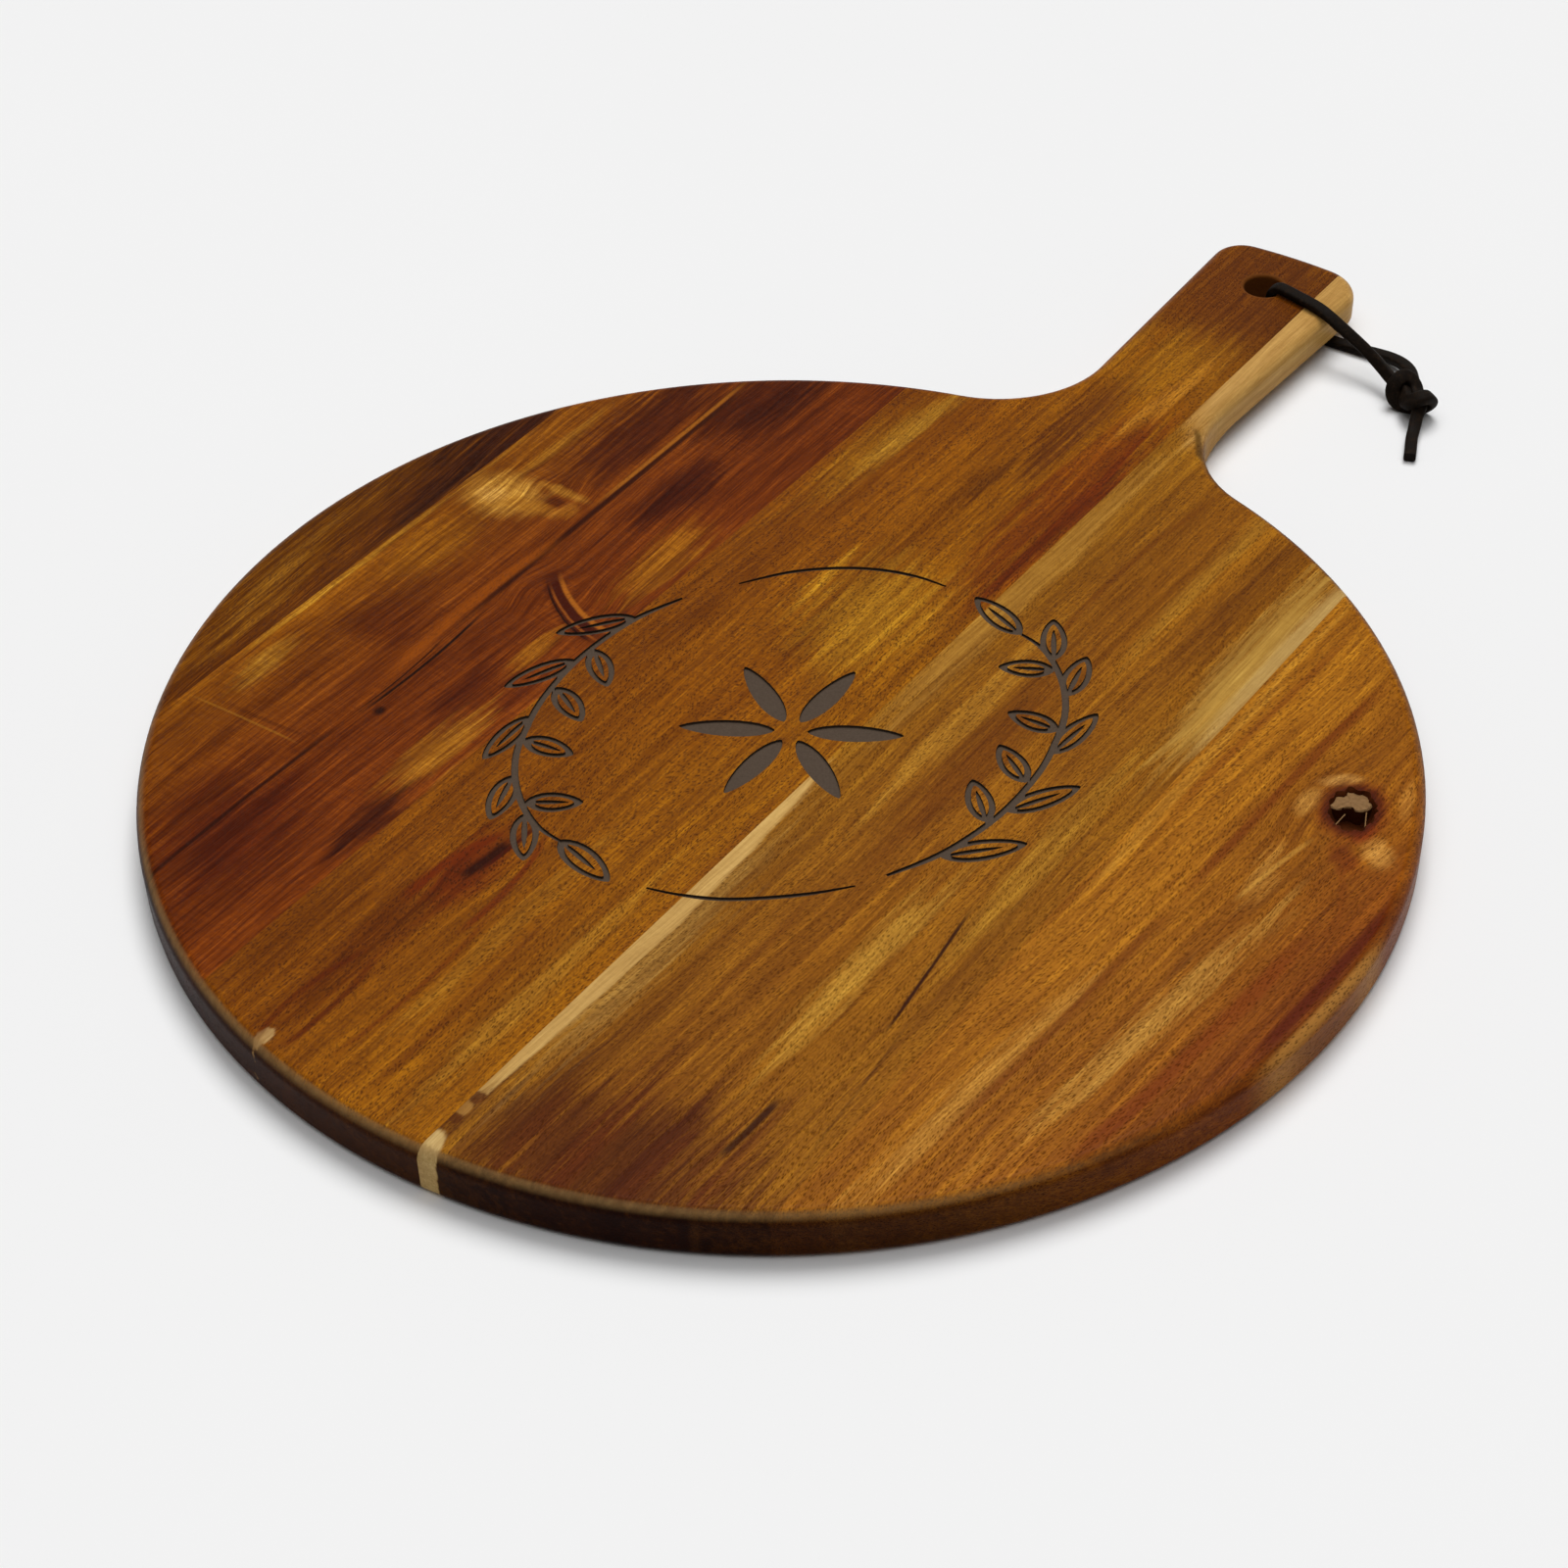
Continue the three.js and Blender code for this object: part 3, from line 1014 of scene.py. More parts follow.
@dataclass
class Carving:
    """The carved wreath round the middle of the board, with a six-petalled rosette inside it."""

    centre_x: float = 3 * MM
    centre_y: float = 1 * MM
    pivot_x: float = 1.6 * MM
    pivot_y: float = 2.7 * MM
    half_turn: float = math.radians(186)
    depth: float = 0.75 * MM
    clearance: float = 0.5 * MM
    stroke: float = 1.75 * MM
    line_share: float = 0.8
    stem_share: float = 1.15
    rib_share: float = 0.95
    rib_length: float = 0.68
    leaf_fullness: float = 1.15
    petals: int = 6
    petal_turn: float = math.radians(30)
    petal_length: float = 27 * MM
    petal_width: float = 7.0 * MM
    petal_start: float = 4.5 * MM
    stem_mm: Plan = (
        (32, 73.4), (40, 71.6), (48, 67), (56.5, 58.5), (62.5, 49), (66, 39), (69, 26.5), (70, 12), (69, -2),
        (65, -18.5), (58, -33),
    )
    lines_mm: tuple[Plan, ...] = (
        ((53.4, -41), (46, -49.4), (37, -57.6), (27, -65), (16.7, -69.8), (8.4, -72.4)),
        ((2.8, 80), (-7, 79.2), (-18, 75.8), (-29, 69.4), (-39.4, 60), (-48.6, 47.2)),
    )
    leaves: tuple[Leaf, ...] = (
        Leaf((33, 73), (12.6, 80.6), 7.6), Leaf((47, 68.4), (37, 84.4), 6.8),
        Leaf((58.4, 56.6), (54, 75), 7), Leaf((68, 33), (69.6, 55), 6.6),
        Leaf((70.4, 6), (81.7, 26), 6.8), Leaf((65.5, -19), (82, -1.6), 7.2),
        Leaf((49.6, 64.6), (35.4, 57), 7), Leaf((64.4, 42.6), (48.4, 41.6), 7),
        Leaf((68.6, 19), (54, 28.4), 7), Leaf((68.4, -0.6), (55.8, 12), 6.8),
    )

    def cutter(self, floor: bpy.types.Material, wall: bpy.types.Material) -> bpy.types.Object:
        """Draws the ornament flat and sinks it into the board.

        Args:
            floor: the finish of the cuts' floors.
            wall: the finish of their walls, charred and darkened further as painted shade.

        Returns:
            The shape to cut away.
        """
        bm = bmesh.new()
        for line in self.lines_mm:
            self._ribbon(bm, line, self.stroke * self.line_share, Matrix())
        for half in (0.0, self.half_turn):
            turn = (Matrix.Translation((self.pivot_x, self.pivot_y, 0)) @ Matrix.Rotation(half, 4, "Z")
                    @ Matrix.Translation((-self.pivot_x, -self.pivot_y, 0)))
            self._ribbon(bm, self.stem_mm, self.stroke * self.stem_share, turn)
            for leaf in self.leaves:
                self._leaf(bm, leaf, turn)
        for petal in range(self.petals):
            place = (Matrix.Translation((self.centre_x, self.centre_y, 0))
                     @ Matrix.Rotation(math.tau * petal / self.petals + self.petal_turn, 4, "Z")
                     @ Matrix.Translation((self.petal_start, 0, 0)))
            self._lens(bm, self.petal_length, self.petal_width, place, True)
        bmesh.ops.translate(bm, verts=bm.verts[:], vec=(0, 0, THICKNESS + self.clearance))
        bmesh.ops.recalc_face_normals(bm, faces=bm.faces[:])
        sunk = bmesh.ops.extrude_face_region(bm, geom=bm.faces[:])["geom"]
        bmesh.ops.translate(bm, verts=picked(sunk, bmesh.types.BMVert),
                            vec=(0, 0, -self.depth - self.clearance))
        bmesh.ops.recalc_face_normals(bm, faces=bm.faces[:])
        # the walls take the darker finish: charring together with painted shade in the cuts
        for face in bm.faces:
            face.material_index = 0 if abs(face.normal.z) > 0.5 else 1
        return finish_mesh("carving_cutter", bm, [floor, wall])

    def _lens(self, bm: bmesh.types.BMesh, length: float, width: float, place: Matrix,
              filled: bool) -> list[bmesh.types.BMVert]:
        """Draws a pointed leaf shape, by pinching a circle.

        Args:
            bm: the drawing.
            length: from point to point.
            width: across the middle.
            place: where its base lies and which way it points.
            filled: whether it is a face or only an outline.

        Returns:
            Its corners.
        """
        verts = bmesh.ops.create_circle(bm, cap_ends=filled, segments=26, radius=1.0)["verts"]
        for vert in verts:
            c, s = vert.co.x, vert.co.y
            full = math.copysign(abs(s) ** 1.35, s) * (1 - 0.16 * c)
            vert.co = place @ Vector(((c + 1) / 2 * length, full * width / 2, 0.0))
        return verts

    def _leaf(self, bm: bmesh.types.BMesh, leaf: Leaf, turn: Matrix) -> None:
        """Draws a leaf: an outline and a rib.

        Args:
            bm: the drawing.
            leaf: its place and size.
            turn: how the spray that it is on is turned.
        """
        base, tip = Vector(leaf.base_mm) * MM, Vector(leaf.tip_mm) * MM
        way = tip - base
        place = (turn @ Matrix.Translation((base.x, base.y, 0))
                 @ Matrix.Rotation(math.atan2(way.y, way.x), 4, "Z"))
        length, width = way.length, leaf.width_mm * self.leaf_fullness * MM
        outer = self._lens(bm, length, width, place, False)
        gap = self.stroke * 1.5
        inner = self._lens(bm, length - 2 * gap, width - 2 * self.stroke,
                           place @ Matrix.Translation((gap, 0, 0)), False)
        edges = list(dict.fromkeys(e for v in outer + inner for e in v.link_edges))
        bmesh.ops.bridge_loops(bm, edges=edges)
        self._lens(bm, length * self.rib_length, self.stroke * self.rib_share,
                   place @ Matrix.Translation((self.stroke * 0.6, 0, 0)), True)

    def _ribbon(self, bm: bmesh.types.BMesh, points: Plan, width: float, turn: Matrix) -> None:
        """Draws a stroke through a row of points that narrows to its ends.

        Args:
            bm: the drawing.
            points: the row, in millimetres.
            width: the stroke's width in the middle.
            turn: how the spray that it is on is turned.
        """
        line = smooth([Vector((x, y, 0)) * MM for x, y in points], 2.5 * MM)
        across = []
        for i, place in enumerate(line):
            ahead = (line[min(i + 1, len(line) - 1)] - line[max(i - 1, 0)]).normalized()
            narrow = min(1.0, 0.45 + 0.1 * min(i, len(line) - 1 - i))
            across.append((place, Vector((-ahead.y, ahead.x, 0)) * width / 2 * narrow))
        place, side = across[0]
        pair = [bm.verts.new(turn @ (place - side)), bm.verts.new(turn @ (place + side))]
        edge = bm.edges.new(pair)
        for place, side in across[1:]:
            made = bmesh.ops.extrude_edge_only(bm, edges=[edge])["geom"]
            edge = next(e for e in picked(made, bmesh.types.BMEdge) if not any(v in pair for v in e.verts))
            new = []
            for old in pair:
                new.append(next(e.other_vert(old) for e in old.link_edges if e.other_vert(old) in edge.verts))
            new[0].co, new[1].co = turn @ (place - side), turn @ (place + side)
            pair = new


@dataclass
class OpenKnot:
    """The open knot in the right edge stave: a ragged hollow with a broken lump of paler wood in it."""

    x: float = 146.8 * MM
    y: float = 58.6 * MM
    half_width: float = 6.8 * MM
    half_length: float = 9.4 * MM
    turn: float = math.radians(20)
    clearance: float = 1 * MM
    drops_mm: Plan = ((1, 1.0), (0.7, 0.93), (2.2, 0.86), (2.2, 0.72), (1.4, 0.45))
    lump_top: float = 13.6 * MM
    lump_foot: float = 7.0 * MM
    lump_brow: float = 0.4 * MM
    lump_crown: float = 0.12 * MM
    lump_mm: Plan = (
        (138.5, 60.4), (138.8, 62.8), (141.4, 66.4), (144.6, 68.4), (148.3, 67.8), (149.8, 65.6),
        (150.0, 63.4), (149.0, 61.2), (147.3, 60.2), (145.7, 60.6), (144.4, 59.8), (143.2, 58.3),
        (141.1, 57.8), (139.1, 58.6),
    )
    splinters_mm: tuple[Plan, ...] = (((144.9, 49.8), (145.2, 58.0)), ((152.0, 56.4), (148.8, 63.6)))
    splinter_width: float = 0.3 * MM
    splinter_height: float = 0.4 * MM
    splinter_sink: float = 0.9 * MM

    def _grow(self, bm: bmesh.types.BMesh, face: bmesh.types.BMFace) -> bmesh.types.BMFace:
        """Draws walls out of a face. The face itself stays only where it is the first, as the far end.

        Args:
            bm: the mesh.
            face: the face to draw out.

        Returns:
            The new end.
        """
        inside = len(bm.faces) > 1
        made = bmesh.ops.extrude_face_region(bm, geom=[face])["geom"]
        if inside:
            bmesh.ops.delete(bm, geom=[face], context="FACES_ONLY")
        return picked(made, bmesh.types.BMFace)[0]

    def _close(self, name: str, bm: bmesh.types.BMesh,
               finishes: list[bpy.types.Material]) -> bpy.types.Object:
        """Finishes a shape that is added to the hollow.

        Args:
            name: the shape's name.
            bm: its mesh, which is freed.
            finishes: the finish of what looks up, and that of the sides.

        Returns:
            The shape.
        """
        bmesh.ops.triangulate(bm, faces=bm.faces[:])
        bmesh.ops.recalc_face_normals(bm, faces=bm.faces[:])
        bm.normal_update()
        for face in bm.faces:
            face.material_index = 0 if face.normal.z > 0.3 else 1
        return finish_mesh(name, bm, finishes)

    def lump(self, broken: bpy.types.Material, dark: bpy.types.Material) -> list[bpy.types.Object]:
        """Makes the lump of broken wood that stands in the hollow, and two splinters.

        Args:
            broken: the finish of their tops.
            dark: the finish of their sides.

        Returns:
            The shapes to add.
        """
        bm = bmesh.new()
        row = [Vector((x, y, 0)) * MM for x, y in self.lump_mm]
        line = smooth(row + row[:1], 0.6 * MM)[:-1]
        face = bm.faces.new([bm.verts.new((p.x, p.y, self.lump_foot)) for p in line])
        wall = self.lump_top - self.lump_foot - self.lump_brow
        for rise, share in ((wall, 1.0), (self.lump_brow, 0.93), (self.lump_crown, 0.6)):
            face = self._grow(bm, face)
            high = list(face.verts)
            middle = sum((v.co for v in high), Vector()) / len(high)
            bmesh.ops.translate(bm, verts=high, vec=(0, 0, rise))
            for vert in high:
                vert.co.xy = middle.xy + (vert.co.xy - middle.xy) * share
                vert.co.z += 0.2 * MM * noise.noise(vert.co * 900)
        bmesh.ops.poke(bm, faces=[face])
        shapes = [self._close("knot_lump", bm, [broken, dark])]
        for (x0, y0), (x1, y1) in self.splinters_mm:
            bm = bmesh.new()
            way = Vector((x1 - x0, y1 - y0)) * MM
            bar = bmesh.ops.create_cube(bm, size=1.0)["verts"]
            middle = ((x0 + x1) / 2 * MM, (y0 + y1) / 2 * MM, self.lump_top - self.splinter_sink)
            place = (Matrix.Translation(middle) @ Matrix.Rotation(math.atan2(way.y, way.x), 4, "Z")
                     @ Matrix.Diagonal((way.length, self.splinter_width, self.splinter_height, 1)))
            bmesh.ops.transform(bm, matrix=place, verts=bar)
            shapes.append(self._close("knot_splinter", bm, [broken, dark]))
        return shapes

    def cutter(self, hollow: bpy.types.Material) -> bpy.types.Object:
        """Makes the ragged hollow, by sinking a wobbly outline in steps.

        Args:
            hollow: the finish inside.

        Returns:
            The shape to cut away.
        """
        bm = bmesh.new()
        ring = bmesh.ops.create_circle(bm, cap_ends=True, segments=56, radius=1.0)["verts"]
        for vert in ring:
            wobble = 1 + 0.09 * noise.noise(vert.co * 2.3) + 0.05 * noise.noise(vert.co * 6.1)
            vert.co = Vector((vert.co.x * self.half_width * wobble, vert.co.y * self.half_length * wobble,
                              self.clearance))
        face = bm.faces[:][0]
        for drop_mm, share in self.drops_mm:
            face = self._grow(bm, face)
            low = list(face.verts)
            bmesh.ops.translate(bm, verts=low, vec=(0, 0, -drop_mm * MM))
            size = max(v.co.xy.length for v in low)
            for vert in low:
                ragged = 1 + 0.12 * noise.noise(vert.co * 700)
                vert.co.x *= share * ragged * self.half_length / size
                vert.co.y *= share * ragged * self.half_length / size
        bmesh.ops.recalc_face_normals(bm, faces=bm.faces[:])
        place = Matrix.Translation((self.x, self.y, THICKNESS)) @ Matrix.Rotation(self.turn, 4, "Z")
        bmesh.ops.transform(bm, matrix=place, verts=bm.verts[:])
        return finish_mesh("knot_cutter", bm, [hollow])


@dataclass(frozen=True)
class Station:
    """One place along the lace: where it is, and how its section stands."""

    place: Vector
    stand: Quaternion
    width: float
    thickness: float

    def matrix(self) -> Matrix:
        """Gives the turn, place and size that a unit section takes here."""
        return Matrix.LocRotScale(self.place, self.stand, Vector((self.width / 2, self.thickness / 2, 1.0)))


@dataclass
class Lace:
    """The flat leather lace: two strands from the hanging hole, tied in an overhand knot with a free end."""

    width: float = 3.9 * MM
    thickness: float = 2.8 * MM
    tied_width: float = 4.8 * MM
    tied_thickness: float = 3.4 * MM
    square: float = 0.48
    spacing: float = 0.7 * MM
    knot_x: float = 65.4 * MM
    knot_y: float = 257 * MM
    knot_z: float = 5.4 * MM
    pitch: float = 3.55 * MM
    heading: float = math.radians(-52)
    twist: float = math.radians(55)
    tighten_points: int = 8
    table_gap: float = 0.05 * MM
    upper_mm: Route = (
        (3.7, 275.4, 9.7), (3.8, 275.4, 12.2), (4.7, 275.1, 14.9), (7.0, 274.6, 16.7),
        (10.6, 273.9, 16.9), (15.2, 272.9, 16.8), (19.8, 271.8, 16.8), (24.0, 270.6, 16.7),
        (28.2, 269.6, 15.8), (32.6, 268.8, 14.2), (37.6, 267.9, 12.4), (42.6, 266.9, 10.6),
        (47.4, 265.4, 8.9), (51.8, 263.6, 7.4), (55.6, 261.7, 6.3),
    )
    lower_mm: Route = (
        (3.7, 275.4, 9.3), (3.8, 275.5, 6.9), (5.1, 275.7, 4.2), (8.2, 276.0, 2.1),
        (12.5, 276.3, 1.75), (17.5, 276.6, 1.75), (22.5, 276.9, 1.75), (27.5, 277.2, 1.75),
        (32.5, 277.5, 1.75), (37.5, 277.7, 1.8), (42.4, 277.9, 2.1), (46.8, 277.4, 2.7),
        (50.8, 276.1, 3.4), (54.4, 274.2, 4.0), (57.5, 271.7, 4.5), (60.0, 268.7, 4.8),
        (62.1, 265.2, 5.1), (63.6, 261.6, 5.2),
    )
    half_knot: Route = (
        (-0.8, -0.5, 0), (0, -0.52, 0), (0.7, -0.56, 0.02), (1.3, -0.5, 0.32), (1.72, -0.08, 0.8),
        (1.74, 0.52, 1.04), (1.42, 1.12, 0.88), (1.02, 1.5, 0.32), (0.72, 1.44, -0.3), (0.4, 0.98, -0.82),
    )
    knot_middle: tuple[float, float, float] = (0, 0, -1.02)
    lead_in: Route = ((-2.62, -1.22, 0.2), (-1.7, -0.74, -0.06))
    lead_out: Route = ((1.6, 0.42, -0.03),)
    tail_mm: Route = (
        (71.2, 249.7, 4.2), (72.4, 246.0, 2.8), (74.1, 240.9, 1.9), (76.4, 235.6, 1.75), (78.2, 231.4, 1.75),
    )

    def _knot_points(self) -> list[Vector]:
        """Gives the knot's run: a half, its middle, the other half, and the free end.

        Returns:
            Points in metres.
        """
        other = [(-a, -b, up) for a, b, up in reversed(self.half_knot)]
        run = [*self.lead_in, *self.half_knot, self.knot_middle, *other, *self.lead_out]
        turn = Matrix.Rotation(self.heading, 3, "Z")
        core = Vector((self.knot_x, self.knot_y, self.knot_z))
        return [core + turn @ (Vector(p) * self.pitch) for p in run] + [Vector(p) * MM for p in self.tail_mm]

    def _stations(self, line: list[Vector], twists: tuple[tuple[int, int, float], ...] = (),
                  squeeze: tuple[int, int] | None = None) -> list[Station]:
        """Carries the lace's section along a line, flat at first, twists it and squeezes it in the knot.

        Args:
            line: the middle of the lace.
            twists: the first and last point of each twist, and its angle.
            squeeze: the first and last point of the squeezed stretch.

        Returns:
            One station for each point.
        """
        heads = [(b - a).normalized() for a, b in zip(line, line[1:])]
        tangents = [heads[0]] + [(a + b).normalized() for a, b in zip(heads, heads[1:])] + [heads[-1]]
        flat = tangents[0].cross(Vector((0, 1, 0))).normalized()
        stand = Matrix((flat.cross(tangents[0]), flat, tangents[0])).transposed().to_quaternion()
        stations = [Station(line[0], stand, self.width, self.thickness)]
        for i, (before, after, place) in enumerate(zip(tangents, tangents[1:], line[1:]), 1):
            stand = before.rotation_difference(after) @ stand
            roll = sum(angle * clamp((i - first) / (last - first)) for first, last, angle in twists)
            tight = 0.0
            if squeeze is not None:
                tight = clamp(min(i - squeeze[0], squeeze[1] - i) / self.tighten_points)
            stations.append(Station(place, stand @ Quaternion((0, 0, 1), roll),
                                    self.width + (self.tied_width - self.width) * tight,
                                    self.thickness + (self.tied_thickness - self.thickness) * tight))
        return stations

    def _sweep(self, name: str, stations: list[Station], leather: bpy.types.Material) -> bpy.types.Object:
        """Pushes the lace's section along its stations.

        Args:
            name: the piece's name.
            stations: where the section goes.
            leather: the finish.

        Returns:
            The strand.
        """
        bm = bmesh.new()
        ring = bmesh.ops.create_circle(bm, cap_ends=True, segments=20, radius=1.0)["verts"]
        for vert in ring:
            c, s = vert.co.x, vert.co.y
            vert.co.x = math.copysign(abs(c) ** self.square, c)
            vert.co.y = math.copysign(abs(s) ** self.square, s)
        edges = list(dict.fromkeys(e for v in ring for e in v.link_edges))
        bmesh.ops.transform(bm, matrix=stations[0].matrix(), verts=ring)
        for before, after in zip(stations, stations[1:]):
            made = bmesh.ops.extrude_edge_only(bm, edges=edges)["geom"]
            edges, ring = picked(made, bmesh.types.BMEdge), picked(made, bmesh.types.BMVert)
            bmesh.ops.transform(bm, matrix=after.matrix() @ before.matrix().inverted(), verts=ring)
        bmesh.ops.contextual_create(bm, geom=edges)
        bmesh.ops.recalc_face_normals(bm, faces=bm.faces[:])
        for vert in bm.verts:
            vert.co.z = max(vert.co.z, self.table_gap)
        piece = finish_mesh(name, bm, [leather])
        for face in piece.data.polygons:
            face.use_smooth = len(face.vertices) == 4
        return piece

    def build(self, leather: bpy.types.Material) -> list[bpy.types.Object]:
        """Args:
            leather: the finish.

        Returns:
            The three pieces.
        """
        upper = [Vector(p) * MM for p in self.upper_mm]
        knot = self._knot_points()
        whole = smooth(upper + knot, self.spacing)
        marks = [min(range(len(whole)), key=lambda i: (whole[i] - mark).length)
                 for mark in (upper[7], knot[0], knot[-5], knot[-3])]
        joint = marks[1]
        twists = ((marks[0], marks[1], self.twist),)
        end = self._stations(whole, twists)[-1]
        wide, flat = end.stand @ Vector((1, 0, 0)), end.stand @ Vector((0, 1, 0))
        level = -math.atan2(wide.z, flat.z)
        level = (level + math.pi / 2) % math.pi - math.pi / 2
        twists += ((marks[2], marks[3], level),)
        stations = self._stations(whole, twists, (marks[1], marks[2]))
        strand = self._sweep("lace_upper_strand", stations[: joint + 1], leather)
        tied = self._sweep("lace_tied_knot", stations[joint:], leather)
        low_line = smooth([Vector(p) * MM for p in self.lower_mm], self.spacing)
        lower = self._sweep("lace_lower_strand", self._stations(low_line), leather)
        for piece, node in ((strand, "lace_upper_run"), (tied, "lace_knot"), (lower, "lace_lower_run")):
            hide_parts(node)
            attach(piece, BODY)
        return [strand, tied, lower]


@dataclass
class Studio:
    """The camera at the photograph's place, the pale floor and the soft light."""

    lens: float = 70.875
    sensor: float = 36.0
    azimuth: float = math.radians(36.5136)
    elevation: float = math.radians(41.1614)
    roll: float = math.radians(-1.6331)
    place: tuple[float, float, float] = (0.3911, -0.5272, 0.5685)
    floor_half: float = 12.0
    floor_dark: str = "#f3f3f3"
    floor_light: str = "#f5f5f5"
    lamp_power: float = 1.74
    lamp_angle: float = math.radians(32)
    lamp_from: tuple[float, float, float] = (-0.2, 0.43, 0.88)
    sky_power: float = 1.345
    sky: Plan = ((0.0, 0.16), (0.3, 0.12), (0.48, 0.04), (0.74, 0.05), (0.9, 1.0))
    backdrop: Plan = ((0.0, 0.67), (0.2, 0.67), (0.5, 0.1), (0.74, 0.05), (0.9, 1.0))

    def camera(self) -> None:
        """Makes the camera."""
        lens = bpy.data.cameras.new("camera")
        lens.lens = self.lens
        lens.sensor_width = self.sensor
        lens.sensor_fit = "HORIZONTAL"
        lens.clip_start, lens.clip_end = 0.01, 100.0
        camera = bpy.data.objects.new("camera", lens)
        bpy.context.scene.collection.objects.link(camera)
        back = Vector((math.sin(self.azimuth) * math.cos(self.elevation),
                       -math.cos(self.azimuth) * math.cos(self.elevation), math.sin(self.elevation)))
        right = Vector((math.cos(self.azimuth), math.sin(self.azimuth), 0.0))
        up = back.cross(right)
        tilted = right * math.cos(self.roll) + up * math.sin(self.roll)
        upright = up * math.cos(self.roll) - right * math.sin(self.roll)
        stand = Matrix((tilted, upright, back)).transposed().to_4x4()
        camera.matrix_world = Matrix.Translation(self.place) @ stand
        bpy.context.scene.camera = camera

    def floor(self) -> None:
        """Lays the pale floor."""
        bm = bmesh.new()
        bmesh.ops.create_grid(bm, x_segments=2, y_segments=2, size=self.floor_half)
        web = Web("pale_floor")
        tint = web.grain(web.place(), 0.004, 2.0)
        web.surface(web.mix(tint, paint(self.floor_dark), paint(self.floor_light)), 0.9, 0.0)
        finish_mesh("floor", bm, [web.material])

    def light(self) -> None:
        """Sets a soft lamp behind the handle, and a sky that is bright overhead and dim lower down."""
        lamp = bpy.data.lights.new("soft_lamp", "SUN")
        lamp.energy = self.lamp_power
        lamp.angle = self.lamp_angle
        holder = bpy.data.objects.new("soft_lamp", lamp)
        bpy.context.scene.collection.objects.link(holder)
        holder.rotation_mode = "QUATERNION"
        holder.rotation_quaternion = Vector(self.lamp_from).to_track_quat("Z", "Y")
        world = bpy.data.worlds.new("studio")
        world.use_nodes = True
        tree = world.node_tree
        ray = tree.nodes.new("ShaderNodeTexCoord")
        parts = tree.nodes.new("ShaderNodeSeparateXYZ")
        tree.links.new(ray.outputs["Generated"], parts.inputs[0])
        path = tree.nodes.new("ShaderNodeLightPath")
        seen = path.outputs["Is Camera Ray"]
        for other in ("Is Glossy Ray", "Is Transmission Ray"):
            add = tree.nodes.new("ShaderNodeMath")
            tree.links.new(seen, add.inputs[0])
            tree.links.new(path.outputs[other], add.inputs[1])
            seen = add.outputs[0]
        choose = tree.nodes.new("ShaderNodeMix")
        choose.data_type = "RGBA"
        tree.links.new(seen, choose.inputs[0])
        for socket, stops in ((choose.inputs[6], self.sky), (choose.inputs[7], self.backdrop)):
            ramp = tree.nodes.new("ShaderNodeValToRGB")
            tree.links.new(parts.outputs[2], ramp.inputs[0])
            tree.links.new(ramp.outputs[0], socket)
            elements = ramp.color_ramp.elements
            while len(elements) < len(stops):
                elements.new(1.0)
            for element, (rise, level) in zip(elements, stops):
                element.position = rise
                element.color = (level, level, level, 1.0)
        tree.links.new(choose.outputs[2], tree.nodes["Background"].inputs["Color"])
        tree.nodes["Background"].inputs["Strength"].default_value = self.sky_power
        bpy.context.scene.world = world
        bpy.context.scene.view_settings.view_transform = "Standard"


